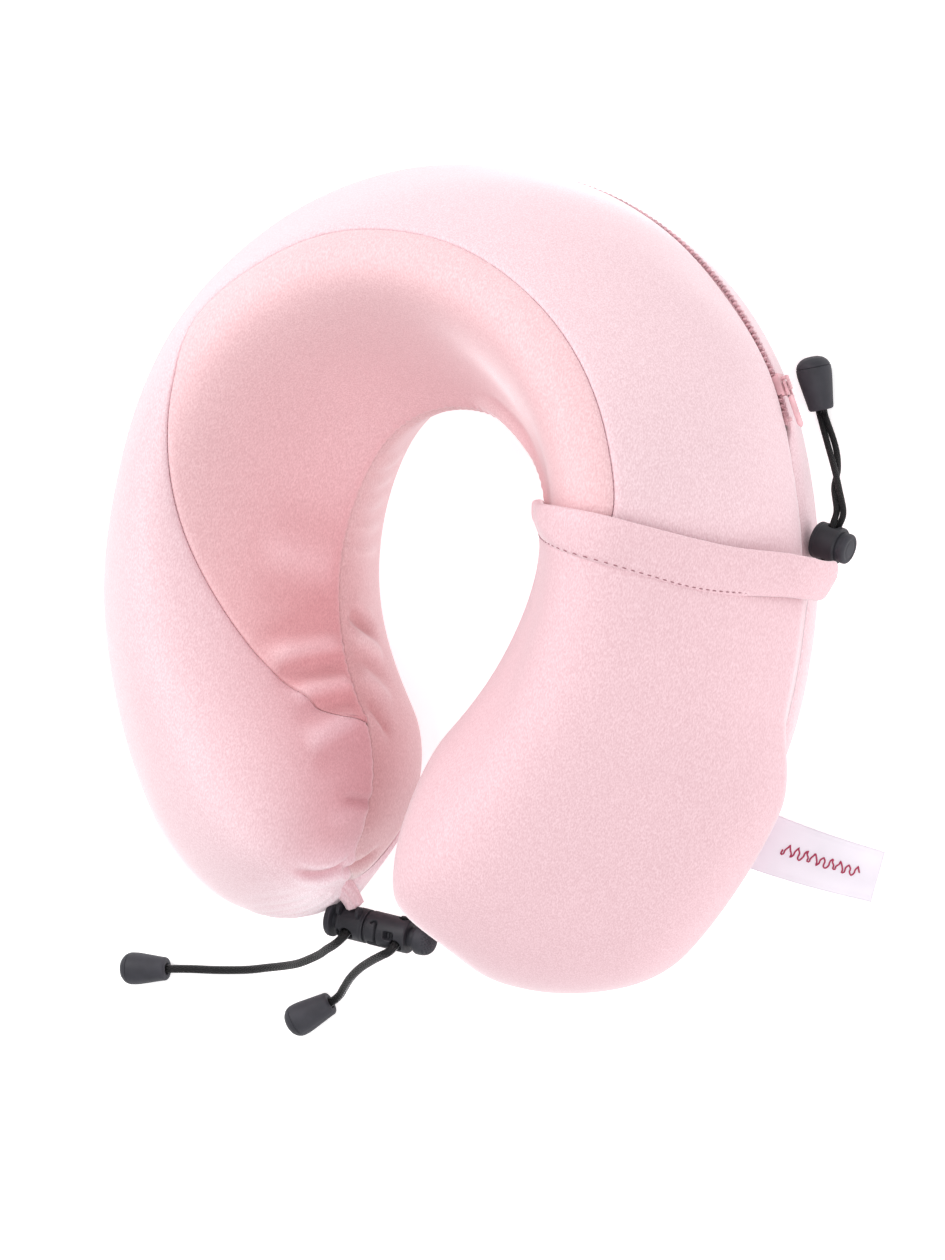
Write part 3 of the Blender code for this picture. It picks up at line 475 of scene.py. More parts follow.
def foam_look():
    look, tree, shader = new_material("memory_foam", (0.82, 0.78, 0.62), 0.95, Specular_IOR_Level=0.1)
    cells = node_of(tree, "ShaderNodeTexVoronoi", Scale=700.0,
                    Vector=tree.nodes.new("ShaderNodeTexCoord").outputs["Object"])
    # painted shade: each cell is darker towards its middle, where the bump sinks into a pore
    tint = ramp(tree, cells.outputs["Distance"], (0.0, (0.66, 0.62, 0.48)), (0.6, (0.84, 0.80, 0.65)))
    tree.links.new(tint, shader.inputs["Base Color"])
    add_bumps(tree, shader, (cells.outputs["Distance"], 0.6, 0.4))
    return look


CHARCOAL = (0.024, 0.024, 0.030)
PLASTIC = moulded("charcoal_plastic", CHARCOAL, 0.52)
RUBBERY = moulded("charcoal_soft_touch", shade(CHARCOAL, 1.45), 0.62)
PULL_PINK = moulded("pink_pull", (0.78, 0.44, 0.48), 0.5, 1500.0)
ZIP_PINK = moulded("pink_coil", (0.68, 0.40, 0.44), 0.5, 1200.0)
ENAMEL = moulded("pink_enamel", (0.76, 0.44, 0.48), 0.35, 900.0)
WIRE = metal("spring_wire", (0.62, 0.62, 0.62), 0.3)
TAPE = plain_cloth("zip_tape", TAPE_PINK, 1900.0)
THREAD = plain_cloth("sewing_thread", STITCH_PINK, 3000.0, 0.7)
BRAID = braid("braided_cord")
SATIN = satin("label_satin", (0.85, 0.79, 0.87))
MOTIF = plain_cloth("label_motif", (0.42, 0.03, 0.09), 3000.0, 0.6)
FOAM = foam_look()

# ---- cover: displacement of the sewn cloth over the foam ---------------------------------------
# Creases and folds: points (s, t) that each runs through, half width, depth; a negative depth is a ridge
WRINKLES = (
    (((-208.0, 7.70), (-206.0, 8.25), (-203.5, 8.80)), 4.6, -2.3),
    (((-214.0, 7.80), (-213.5, 8.25), (-212.0, 8.74)), 4.0, 1.2),
    (((-227.0, 7.95), (-227.0, 8.38), (-224.5, 8.80)), 4.2, -2.2),
    (((-234.0, 8.05), (-236.0, 8.45), (-234.0, 8.76)), 3.6, 1.0),
    (((-255.0, 7.90), (-251.0, 8.30), (-243.0, 8.74)), 5.0, -1.5),
    (((-262.0, 7.90), (-261.0, 8.32), (-257.0, 8.72)), 4.6, 0.8),
    (((-281.0, 8.20), (-284.4, 8.55), (-286.6, 8.84)), 1.5, 1.9),
    (((-284.0, 7.90), (-288.6, 8.35), (-290.6, 8.80)), 4.2, -0.9),
    (((-292.2, 6.68), (-297.5, 7.40), (-297.0, 8.60)), 1.7, 3.0),
    (((-297.8, 8.00), (-297.9, 8.90), (-296.0, 9.60)), 1.6, 2.6),
    (((-185.0, 8.92), (-191.0, 9.12), (-197.0, 9.45)), 3.2, 2.2),
    (((-198.0, 8.92), (-205.0, 9.15), (-211.0, 9.45)), 3.6, -2.0),
    (((-236.0, 8.88), (-248.0, 9.00), (-260.0, 9.14)), 3.2, 1.8),
    (((-220.0, 8.90), (-229.0, 9.08), (-240.0, 9.32)), 4.0, -1.6),
    (((-152.0, 7.60), (-158.0, 8.15), (-160.0, 8.70)), 7.0, -1.1),
    (((12.0, 8.04), (40.5, 8.38), (89.0, 8.10)), 5.0, -1.5),
    (((16.0, 8.32), (42.0, 8.56), (84.0, 8.40)), 3.6, 0.9),
)
PUCKERS = (-100.0, -112.0, -124.5, -138.0, -151.0)   # short ridges across the left arm's inner seam strip


def crease(points, through, width, depth):
    """Depth of a crease with a soft lip on each side, at points near the curve through three places."""
    a, b, c = (skin_point(np.array(s), np.array(t)) for s, t in through)
    u = np.linspace(0, 1, 33)[:, None]
    middle = 2 * b - (a + c) / 2
    line = a * (1 - u) ** 2 + middle * 2 * u * (1 - u) + c * u ** 2
    flat = points.reshape(-1, 3)
    reach = np.linalg.norm(line - b, axis=1).max() + 4 * width
    near = np.flatnonzero(np.linalg.norm(flat - b, axis=1) < reach)
    gaps = np.linalg.norm(flat[near, None] - line[None], axis=-1)
    place = gaps.argmin(axis=1)
    x = gaps.min(axis=1) / width
    fade = smooth(np.minimum(u[place, 0], 1 - u[place, 0]) / 0.28 + 0.03)
    result = np.zeros(len(flat))
    result[near] = depth * fade * (np.exp(-x ** 2) - 0.3 * np.exp(-(x - 2.0) ** 2))
    return result.reshape(points.shape[:-1])


WAVES = [(unit(rng.normal(size=3)) * 2 * pi / wavelength, phase, height)
         for wavelength, phase, height in zip(rng.uniform(38, 120, 18), rng.uniform(0, 2 * pi, 18),
                                              np.full(18, 0.16))]


def undulation(points):
    """The cloth's slow unevenness."""
    return sum(height * np.sin(points @ wave + phase) for wave, phase, height in WAVES)


def seam_valley(distance, depth=0.9, width=2.6):
    return depth * np.exp(-(distance / width) ** 2)


def gathers(s, distance, pitch, height, reach):
    """Little puckers that the stitching pulls across a seam."""
    wobble = 0.6 + 0.4 * np.sin(s / 17.3 + 1.1) * np.sin(s / 7.1)
    return height * wobble * np.cos(2 * pi * s / pitch + 0.9 * np.sin(s / 11.0)) * np.exp(-(distance / reach) ** 2)


ARM_POLE = np.array((26.5, -232.5, 56.0))     # tip of the right arm; the left one's mirror image
OUTWARD, ACROSS = np.array((-0.469, -0.883, 0.0)), np.array((0.883, -0.469, 0.0))    # at the left arm's end


def tip_folds(points):
    """Depth of the puffed and gathered lip below the crease in the left arm's end."""
    from_pole = points - ARM_POLE * (-1, 1, 1)
    u, w = from_pole @ ACROSS, (from_pole[..., 2] - 12.0) / 34.0      # across the arm's end, and up it
    here = smooth((from_pole @ OUTWARD + 9.0) / 6.0)
    lip = np.clip(1 - w ** 2 - (u / 20.0) ** 2, 0.0, 1.0)
    puff = 6.0 * np.exp(-((u - 9.0) / 7.5) ** 2 - w ** 2) * smooth((from_pole @ OUTWARD + 24.0) / 12.0)
    return here * lip * (0.45 * np.cos(2 * pi * w * 5 + 2.0 * np.sin(u / 4.0)) - 1.2) - puff


def clasp_dent(points):
    """The right arm's end gives way a little above the clasp."""
    away = points - (ARM_POLE + (0.0, -3.0, 16.0))
    return 5.5 * np.exp(-(away ** 2).sum(axis=-1) / 17.0 ** 2)


def folding(s, t, points):
    """Depth of the cover's creases and folds alone."""
    strip = np.exp(-((t - 9.35) / 0.32) ** 2)
    puckers = sum(1.5 * strip * np.exp(-((s - at) / 3.4) ** 2) for at in PUCKERS)
    return sum(crease(points, *wrinkle) for wrinkle in WRINKLES) + tip_folds(points) - puckers + clasp_dent(points)


def inner_rim_shade(s, t):
    """Painted shade: how much darker the velour is painted along the left arm's inner rim, on its face and inner wall,
    and on the right arm's face beside its inner seam.
    """
    rim = np.where(t < INNER_SEAM, smooth((t - 6.3) / 2.4), smooth((9.6 - t) / 0.8) * 0.6)
    left = 2.7 * rim * smooth((-s - 90.0) / 120.0) * smooth((s + 299.0) / 10.0)
    return left + 2.2 * np.exp(-((t - 8.3) / 1.0) ** 2) * smooth((s - 30.0) / 70.0) * smooth((200.0 - s) / 30.0)


def cover_depth(s, t):
    """How far the cover lies below the CAD skin, in millimetres."""
    points = skin_point(s, t)
    speed = section_speed(s, t)
    depth = undulation(points) + 0.4

    def from_seam(at):
        gap = np.abs((t - at + TURN / 2) % TURN - TURN / 2)
        return gap * speed

    crown = from_seam(crown_seam(s))
    inner, foot, outer = (from_seam(at) for at in (INNER_SEAM, BASE_SEAM, ZIP_SEAM))
    faced = (np.abs(s) < FACE_S + 2) * 1.0
    depth += faced * (seam_valley(crown, 0.45, 1.6) - gathers(s, crown, 5.2, 0.10, 5.0))
    depth += seam_valley(inner, 0.8, 2.2) - gathers(s, inner, 6.0, 0.28, 7.0)
    depth += seam_valley(foot, 0.8, 2.6)
    sewn = 1.0 - np.clip((ZIP_END + ZIP_RUNOUT - np.abs(s)) / ZIP_RUNOUT, 0.0, 1.0)
    depth += seam_valley(outer, 1.1, 3.2) * sewn - sewn * gathers(s, outer, 6.5, 0.15, 6.0)
    return depth + folding(s, t, points)


STEP = 1.7


def length_rows(step):
    """Distances along one half of the pillow, evenly spaced over its crown up to the arm end's tip."""
    straight = np.linspace(0.0, HALF_LENGTH - DOME_LENGTH, 160)
    closing = 1 - (1 - (np.linspace(1.0, 0.0, 320) ** (1 / DOME_RISE)) ** DOME_POWER) ** (1 / DOME_POWER)
    fine = np.concatenate((straight, HALF_LENGTH - DOME_LENGTH * closing[1:]))
    points = skin_point(fine, 5.8)
    walked = walked_along(points)
    pitch = np.where(walked[1:] > walked[-1] - 34.0, step / 2, step)      # finer near the arm's end
    pace = np.concatenate(([0.0], np.cumsum(np.diff(walked) / pitch)))
    return np.interp(np.linspace(0, pace[-1], int(pace[-1]) + 1), pace, fine)


HALF_ROWS = length_rows(STEP)
ROWS = np.concatenate((-HALF_ROWS[:0:-1], HALF_ROWS))
CLOTH = 1.0
LIP = ((0.04, 2.2), (0.05, 1.1), (0.22, 0.35), (0.6, 0.08))   # inset from the seam, depth


def panel(name, look, rows, low, high, columns, replaces):
    """A cover panel between two seams, with its edges rolled in where it is sewn."""
    s = rows[:, None]
    low, high = np.broadcast_to(low(rows), rows.shape)[:, None], np.broadcast_to(high(rows), rows.shape)[:, None]
    middle = low + (high - low) * np.linspace(0, 1, columns)[None, 1:-1]
    speed_low, speed_high = section_speed(s, low), section_speed(s, high)
    room = np.maximum((high - low) * speed_low, 0.02)
    edge_low = [low + np.minimum(inset, room * 0.3) / speed_low for inset, _ in LIP]
    edge_high = [high - np.minimum(inset, room * 0.3) / speed_high for inset, _ in LIP[::-1]]
    t = np.concatenate((*edge_low, middle, *edge_high), axis=1)
    rolled = np.zeros_like(t)
    for k, (_, depth) in enumerate(LIP):
        rolled[:, k] = rolled[:, -1 - k] = depth
    s = np.broadcast_to(s, t.shape)
    points = over_skin(s, t, -cover_depth(s, t) - rolled)
    piece = mesh_object(name, points, grid_faces(*t.shape), look, "pillow", replaces)
    # the velour paints shade into the folds and along the inner rims from these values, and a highlight onto raised
    # folds
    set_fold_shade(piece, folding(s, t, skin_point(s, t)) + inner_rim_shade(s, t))
    solidify(piece, CLOTH)


def zip_edge(side):
    """The seam parameter of a panel's edge beside the zip."""
    return lambda s: ZIP_SEAM + side * zip_gap(s) / section_speed(s, np.full_like(s, ZIP_SEAM))


def at(value):
    return lambda s: np.full_like(s, value)


FACE_ROWS = np.concatenate(([-FACE_S], ROWS[np.abs(ROWS) < FACE_S - 0.5], [FACE_S]))
DENSITY = 2
panel("cover_outer", VELOUR_SIDE, ROWS, zip_edge(1), crown_seam, 46 * DENSITY, ["outer_panel"])
panel("cover_face", VELOUR_FACE, FACE_ROWS, crown_seam, at(INNER_SEAM), 32 * DENSITY, ["face_panel"])
panel("cover_inner", VELOUR_INNER, ROWS, at(INNER_SEAM), at(BASE_SEAM), 12 * DENSITY, ["inner_panel"])
panel("cover_base", VELOUR_BASE, ROWS, at(BASE_SEAM), lambda s: zip_edge(-1)(s) + TURN, 40 * DENSITY, ["base_panel"])


FOAM_DEPTH = 6.0


def foam_core():
    """The moulded foam inside the cover."""
    rows = ROWS[::2]
    t = np.linspace(0, TURN, 73)[:-1]
    s, t = np.broadcast_arrays(rows[:, None], t[None, :])
    points = over_skin(s, t, np.full(s.shape, -FOAM_DEPTH))
    piece = mesh_object("foam", points, grid_faces(*s.shape, wrap_columns=True), FOAM, "pillow", ["foam_core"])


foam_core()


def beads(name, centres, axes, half, steps, sides, look, replaces=()):
    """A small oval at each centre. Its length is along the first axis; steps give (place along it, width there)."""
    ring = np.linspace(0, 2 * pi, sides, endpoint=False)
    shape = np.array([(reach * half[0], cos(a) * half[1] * scale, sin(a) * half[2] * scale)
                      for reach, scale in steps for a in ring])
    points = centres[:, None] + sum(shape[None, :, k:k + 1] * axis[:, None] for k, axis in enumerate(axes))
    count = len(shape)
    one = [*grid_faces(len(steps), sides, wrap_columns=True).tolist(), list(range(sides))[::-1],
           list(range(count - sides, count))]
    faces = [[v + k * count for v in face] for k in range(len(centres)) for face in one]
    return mesh_object(name, points, faces, look, "pillow", replaces)


def stitches(name, centres, alongs, normals, length, radius):
    """Stitches of sewing thread, one at each centre."""
    return beads(name, centres, (alongs, np.cross(normals, alongs), normals), (length / 2, radius, radius),
                 ((-1.0, 0.35), (-0.55, 1.0), (0.55, 1.0), (1.0, 0.35)), 6, THREAD)


STITCH_PITCH = 2.9


def seam_stitches(name, seam, begin, end):
    """Stitches in the groove of a seam, which follow the cover's own depth."""
    pitch, length, radius, sunk = STITCH_PITCH, 1.0, 0.15, 0.75
    fine = np.linspace(begin, end, int((end - begin) / 0.5))
    walked = walked_along(skin_point(fine, seam(fine)))
    s = np.interp(np.arange(0.5 * pitch, walked[-1], pitch), walked, fine)
    t = seam(s)
    normals = skin_normal(s, t)
    centres = skin_point(s, t) - normals * (cover_depth(s, t) + sunk)[:, None]
    alongs = unit(skin_point(s + 0.2, seam(s + 0.2)) - skin_point(s - 0.2, seam(s - 0.2)))
    return stitches(name, centres, alongs, normals, length, radius)


seam_stitches("stitches_crown", crown_seam, -FACE_S, FACE_S)
STITCHED = HALF_LENGTH - 12      # the seams' last stretch is folded in at the arms' ends
seam_stitches("stitches_inner", at(INNER_SEAM), -STITCHED, STITCHED)
seam_stitches("stitches_base", at(BASE_SEAM), -STITCHED, STITCHED)

# ---- pocket ------------------------------------------------------------------------------------
POCKET_LIFT = 2.7


def pocket_lift(s, t, along):
    """Height of the pocket's cloth over the CAD skin: looser in the middle, pulled down to its sewn edges."""
    points = skin_point(s, t)
    across = (t - POCKET_LOW) / (POCKET_HIGH - POCKET_LOW)
    sewn = smooth(np.minimum(across, 1 - across) / 0.045)
    loose = 0.9 * np.sin(pi * np.clip(across, 0, 1)) * np.sin(pi * np.clip(along, 0, 1)) ** 0.7
    uneven = 0.8 * sewn * undulation(points * 1.3 + 40.0)
    return POCKET_LIFT * (0.25 + 0.75 * sewn) + loose + pouch(s, t) - clasp_dent(points) - uneven


def pocket():
    """A second layer over the arm's top, walls and end, open under the hem."""
    count = 75 * DENSITY
    t = (POCKET_LOW + (POCKET_HIGH - POCKET_LOW) * np.linspace(0, 1, count))[None, :]
    begin = hem_line(t) + hem_width(t) - 1.5
    half = HALF_ROWS[HALF_ROWS > arc_length(HEM_ANGLE)]
    v = (half - half[0]) / (half[-1] - half[0])
    s = begin + (HALF_LENGTH - begin) * v[:, None]
    t = np.broadcast_to(t, s.shape)
    along = np.broadcast_to(v[:, None], s.shape)
    lift = pocket_lift(s, t, along)
    lift += 1.2 * np.exp(-(s - begin) / 5.0) * smooth((s - begin) / 2.0)
    points = over_skin(s, t, lift)
    piece = mesh_object("pocket", points, grid_faces(*s.shape), VELOUR_POCKET, "pillow", ["pocket_panel"])
    set_fold_shade(piece)
    solidify(piece, 1.1)
    return piece


pocket_cloth = pocket()


def pocket_hem():
    """The pocket's top edge, folded over into a puffy channel with a rounded end on each side."""
    columns, ring = 130 * DENSITY, 36
    v = np.linspace(0, 1, columns)
    t = POCKET_LOW - 0.02 + (POCKET_HIGH - POCKET_LOW + 0.04) * v
    speed = section_speed(hem_line(t), t)
    walked = np.concatenate(([0.0], np.cumsum(np.diff(t) * speed[:-1])))
    nose = np.sqrt(np.clip(1 - (1 - np.clip(np.minimum(walked, walked[-1] - walked) / 4.5, 0, 1)) ** 2, 0.0, 1.0))
    nose = np.maximum(nose, 0.12)
    turn = np.linspace(0, 2 * pi, ring, endpoint=False)
    # a flattened loop: along the arm from the fold (0) to the stitch line (1), and its rise over the skin
    along = 0.5 - 0.5 * np.cos(turn)
    top = np.sin(turn) > 0
    body = np.sin(turn)
    rise = np.where(top, 3.6 + 2.6 * np.abs(body) ** 0.8 - 1.3 * along, 3.6 - 2.7 * np.abs(body) ** 0.7 - 0.4 * along)
    flow = np.sin(walked / 9.0 + 1.3 * np.sin(walked / 23.0))
    s = hem_line(t)[None, :] + (0.5 + (along[:, None] - 0.5) * nose[None, :]) * hem_width(t)[None, :]
    s = s + 0.5 * flow[None, :] * (1 - along[:, None])
    t = np.broadcast_to(t[None, :], s.shape)
    along, ripple = along[:, None], 0.45 * top[:, None] * nose
    lift = 3.3 + (rise[:, None] - 3.3) * nose[None, :] + (1 - 0.45 * along) * hem_standing_out(t)
    lift = lift + ripple * np.sin(walked / 4.1 + 4 * along) * np.sin(pi * along) ** 2
    points = over_skin(s, t, lift)
    faces = grid_faces(ring, columns, wrap_rows=True, flip=True).tolist()
    faces.append([k * columns for k in range(ring)])
    faces.append([k * columns + columns - 1 for k in range(ring)][::-1])
    piece = mesh_object("pocket_channel", points, faces, VELOUR_POCKET, "pillow", ["pocket_hem"])
    set_fold_shade(piece)
    stitched = np.arange(12.0, walked[-1] - 4.0, STITCH_PITCH)
    seam_t = np.interp(stitched, walked, POCKET_LOW + (POCKET_HIGH - POCKET_LOW) * v)

    def sewn_at(t):
        return hem_line(t) + hem_width(t) * 0.93

    normals = skin_normal(sewn_at(seam_t), seam_t)
    centres = skin_point(sewn_at(seam_t), seam_t)
    ahead = skin_point(sewn_at(seam_t + 0.01), seam_t + 0.01)
    sewing = stitches("stitches_hem", centres + normals * 4.05, unit(ahead - centres), normals, 1.6, 0.24)
    return piece, sewing


hem, hem_sewing = pocket_hem()


# ---- turned and swept parts --------------------------------------------------------------------
def rounded(profile, passes=2):
    """Cut the corners of an open line of (radius, height) points."""
    points = np.array(profile, float)
    for _ in range(passes):
        a, b = points[:-1], points[1:]
        cut = np.minimum(0.25, 0.25 / np.maximum(np.linalg.norm(b - a, axis=1), 1e-6))[:, None]
        inner_points = np.stack((a + (b - a) * cut, b - (b - a) * cut), axis=1).reshape(-1, 2)
        points = np.concatenate((points[:1], inner_points[1:-1], points[-1:]))
    return points


def lathe(name, profile, look, body, place, segments=96, spacing=0.45, relief=None, replaces=()):
    """A shape turned about local Z from its top down the outer side, with relief(angle, radius, height) cut into it."""
    line = rounded(profile)
    walked = walked_along(line)
    even = np.union1d(np.linspace(0, walked[-1], int(walked[-1] / spacing) + 1), walked)
    even = even[np.concatenate(([True], np.diff(even) > 0.02))]
    line = np.stack([np.interp(even, walked, line[:, k]) for k in (0, 1)], axis=1)[1:-1]
    tangent = unit(np.gradient(line, axis=0))
    out = np.stack((-tangent[:, 1], tangent[:, 0]), axis=1)
    angle = np.linspace(0, 2 * pi, segments, endpoint=False)
    radius, height = (np.repeat(v, segments, axis=1) for v in (line[:, :1], line[:, 1:]))
    angles = np.broadcast_to(angle[None, :], radius.shape)
    if relief is not None:
        deep = relief(angles, radius, height)
        radius, height = radius - out[:, :1] * deep, height - out[:, 1:] * deep
    points = np.stack((radius * np.cos(angles), radius * np.sin(angles), height), axis=-1).reshape(-1, 3)
    faces = grid_faces(len(line), segments, wrap_columns=True, flip=True).tolist()
    for row, centre, order in ((0, profile[0][1], 1), (len(line) - 1, profile[-1][1], -1)):
        points = np.concatenate((points, [(0, 0, centre)]))
        hub = len(points) - 1
        for j in range(segments):
            faces.append([row * segments + j, row * segments + (j + 1) % segments, hub][::order])
    turn, origin = place
    return mesh_object(name, points @ np.array(turn).T + np.array(origin), faces, look, body, replaces)


def step_in(v, soft=0.3):
    """1 where v is negative, 0 where it is positive, softly."""
    return smooth(0.5 - v / soft)


def slab(u, v, half_u, half_v, corner=0.4):
    """Signed distance to a rounded rectangle."""
    du, dv = np.abs(u) - half_u + corner, np.abs(v) - half_v + corner
    return np.hypot(np.maximum(du, 0), np.maximum(dv, 0)) + np.minimum(np.maximum(du, dv), 0) - corner


def wrapped(angle, centre):
    return (angle - centre + pi) % (2 * pi) - pi


def smooth_route(points, spacing):
    """Points at an even spacing on a smooth curve through a route's points."""
    points = np.array([tuple(p) for p in points], float)
    ends = np.concatenate(([2 * points[0] - points[1]], points, [2 * points[-1] - points[-2]]))
    fine = []
    u = np.linspace(0, 1, 24, endpoint=False)[:, None]
    for a, b, c, d in zip(ends, ends[1:], ends[2:], ends[3:]):
        fine.append(0.5 * (2 * b + (c - a) * u + (2 * a - 5 * b + 4 * c - d) * u ** 2
                           + (3 * b - a - 3 * c + d) * u ** 3))
    fine = np.concatenate((*fine, points[-1:]))
    walked = walked_along(fine)
    even = np.linspace(0, walked[-1], max(4, round(walked[-1] / spacing)) + 1)
    return np.stack([np.interp(even, walked, fine[:, k]) for k in range(3)], axis=1)


def sweep(name, path, radius, look, body, segments=16, shape=None, replaces=()):
    """A tube round a path. shape(angle, walked) scales its radius."""
    tangent = unit(np.gradient(path, axis=0))
    side = unit(np.cross(tangent[0], (0.3, 0.2, 1.0)))
    sides = []
    for direction in tangent:
        side = unit(side - direction * (side @ direction))
        sides.append(side)
    sides = np.array(sides)
    ups = np.cross(tangent, sides)
    angle = np.linspace(0, 2 * pi, segments, endpoint=False)
    walked = walked_along(path)
    size = radius * (np.ones((len(path), segments)) if shape is None else shape(angle[None, :], walked[:, None]))
    points = (path[:, None] + sides[:, None] * (np.cos(angle) * size)[..., None]
              + ups[:, None] * (np.sin(angle) * size)[..., None])
    uv = np.stack(np.broadcast_arrays(angle[None, :] / (2 * pi), walked[:, None]), axis=-1).reshape(-1, 2)
    faces = grid_faces(len(path), segments, wrap_columns=True).tolist()
    faces += [list(range(segments))[::-1], [(len(path) - 1) * segments + k for k in range(segments)]]
    return mesh_object(name, points, faces, look, body, replaces, uv=uv)


def along_bell(ends, distance):
    mouth, top = (np.array(e, float) for e in ends)
    return mouth + unit(top - mouth) * distance


def axis_frame(direction, origin):
    """Rotation with local Z along a direction, and the origin."""
    turn = Vector(direction).to_track_quat("Z", "Y").to_matrix()
    return np.array(turn), np.array(origin, float)


# ---- cords -------------------------------------------------------------------------------------
def yarn(angle, walked):
    """The braid's own relief."""
    turned = 2 * pi * walked / YARN_PITCH
    return 1.0 + 0.035 * np.maximum(np.sin(YARNS * angle + turned), np.sin(YARNS * angle - turned))


CORD_SIDES = 48
CORD_STEP = 0.5


def cord(name, route, radius, body, replaces):
    path = smooth_route(route, CORD_STEP)
    piece = sweep(name, path, radius, BRAID, body, CORD_SIDES, yarn, replaces)
    return piece


def bell(name, ends, body):
    """A cord end: a tapered shell from its mouth, and the round cap that closes it."""
    mouth = np.array(ends[0], float)
    place = axis_frame(np.array(ends[1], float) - mouth, mouth)

    def parting(angle, radius, height):
        return 0.12 * np.exp(-(wrapped(angle, 0.4) * radius / 0.25) ** 2) * (height < 15.0)

    shell = lathe(name, ((0, 16.0), (6.42, 16.0), (6.5, 15.7), (6.5, 13.6), (6.3, 11.6), (4.9, 2.6), (4.7, 0.7),
                         (4.1, 0.0), (2.35, 0.0), (2.2, 1.6), (0, 1.6)), RUBBERY, body, place, relief=parting,
                  replaces=[name])
    cap = lathe(name + "_top", ((0, 20.0), (2.4, 19.85), (4.3, 19.1), (5.7, 17.8), (6.3, 16.5), (6.36, 16.04),
                                (0, 16.04)), RUBBERY, body, place, replaces=[name + "_cap"])
    return shell, cap


for side_name, route, ends, body in (("left_cord", LEFT_CORD, LEFT_BELL, "pillow"),
                                     ("right_cord", RIGHT_CORD, RIGHT_BELL, "clasp_right")):
    pieces = bell(side_name + "_bell", ends, body)
    cord(side_name + "_braid", (*route, along_bell(ends, 1.0), along_bell(ends, KNOT_AT)), CORD_R, body,
         [side_name])
sweep("right_cord_stub", smooth_route(RIGHT_ROOT, CORD_STEP), CORD_R, BRAID, "pillow", CORD_SIDES, yarn,
      ["right_cord_root"])

# ---- clasp -------------------------------------------------------------------------------------
# Local Z runs along the row's +X, local X points away from the pillow and local Y down
CLASP = (np.array(((0, 0, 1), (-1, 0, 0), (0, -1, 0)), float), np.array((-10.7, -242.3, 48.0)))
LEFT_HOLE, RIGHT_HOLE = -6.8, 14.5
EXIT_TILT = radians(52.0)         # the cords leave the clasp at this angle above the horizontal
R = 6.5


def cord_holes(angle, height, at):
    """Depth of a barrel's two cord holes: in on the pillow's side, out at the front and upwards."""
    return sum(3.6 * step_in(np.hypot(wrapped(angle, way) * R, height - at) - 2.35, 0.6) for way in (-EXIT_TILT, pi))


def left_relief(angle, radius, height):
    ring = 0.35 * np.exp(-((height + 1.1) / 0.28) ** 2) + 0.25 * np.exp(-((height + 10.2) / 0.3) ** 2)
    mould_line = 0.1 * np.exp(-(wrapped(angle, 1.9) * R / 0.25) ** 2)
    notch = 1.6 * step_in(slab(wrapped(angle, -EXIT_TILT) * R, height + 10.4, 1.3, 0.55, 0.4), 0.4)
    return (radius > 5.6) * (cord_holes(angle, height, LEFT_HOLE) + ring + mould_line + notch)


lathe("clasp_left_barrel", ((0, 5.2), (4.3, 5.2), (4.3, 0.0), (6.5, 0.0), (6.5, -11.3), (0, -11.3)), PLASTIC,
      "pillow", CLASP, segments=160, spacing=0.3, relief=left_relief, replaces=["clasp_left_half"])
for number, near in enumerate((LEFT_HOLE + 3.4, LEFT_HOLE - 4.8)):
    turn, origin = CLASP
    lathe(f"clasp_ear_{number}", ((0, 1.4), (2.4, 1.4), (2.4, 0.0), (0, 0.0)), PLASTIC, "pillow",
          (turn, origin + turn @ np.array((-4.9, -4.9, near))), segments=40)

lathe("clasp_left_plunger", ((0, -4.2), (3.7, -4.2), (3.7, -14.1), (6.9, -14.1), (7.0, -14.8), (6.9, -16.2),
                             (6.2, -16.8), (0, -16.8)), RUBBERY, "clasp_left_button", CLASP, segments=96,
      relief=lambda a, r, h: 0.35 * (h < -16.6) * np.exp(-((r - 4.6) / 0.35) ** 2), replaces=["clasp_left_button"])


def right_relief(angle, radius, height):
    """A window with ridges, the cord's holes, a hooked bayonet groove and the collar's joint."""
    arc = wrapped(angle, -pi / 2) * R             # across the top, positive towards the front
    deep = cord_holes(angle, height, RIGHT_HOLE)
    window = slab(arc - 0.9, height - 11.4, 1.7, 2.1, 1.0)
    deep = np.maximum(deep, (2.3 + 0.7 * np.cos(2 * pi * (height - 11.4) / 1.4)) * step_in(window, 0.5))
    stem = slab(arc - 1.6, height - 5.6, 4.4, 0.42, 0.4)
    hook = np.where(arc < -2.6, np.abs(np.hypot(arc + 2.6, height - 4.5) - 1.1) - 0.42, 9.0)
    foot = slab(arc - 6.0, height - 4.3, 0.9, 2.0, 0.8)
    groove = np.minimum(np.minimum(stem, hook), foot)
    deep = np.maximum(deep, 1.5 * step_in(groove, 0.4))
    ring = 0.45 * np.exp(-((height - 1.0) / 0.3) ** 2)
    return (radius > 5.6) * (deep + ring)


lathe("clasp_right_barrel", ((0, 18.2), (4.0, 18.2), (4.2, 18.2), (6.1, 18.2), (6.5, 17.6), (6.5, 0.9), (6.3, 0.5),
                             (4.7, 0.5), (4.7, 0.9), (0, 0.9)), PLASTIC, "clasp_right", CLASP, segments=200,
      spacing=0.25, relief=right_relief, replaces=["clasp_right_half"])


def dotted(angle, radius, height):
    """A plain field of small dimples over the cap's round end."""
    x, y = radius * np.cos(angle), radius * np.sin(angle)
    dots = np.cos(2 * pi * x / 1.3) * np.cos(2 * pi * y / 1.3)
    return 0.32 * smooth(dots * 1.6) * (height > 24.6) * (radius < 5.5)


lathe("clasp_right_plunger", ((0, 28.2), (2.6, 28.0), (4.3, 27.2), (5.3, 25.9), (5.75, 24.2), (5.8, 21.8), (5.2, 20.9),
                              (3.7, 20.9), (3.7, 11.6), (0, 11.6)), RUBBERY, "clasp_right_button", CLASP, segments=160,
      spacing=0.25, relief=dotted, replaces=["clasp_right_button"])


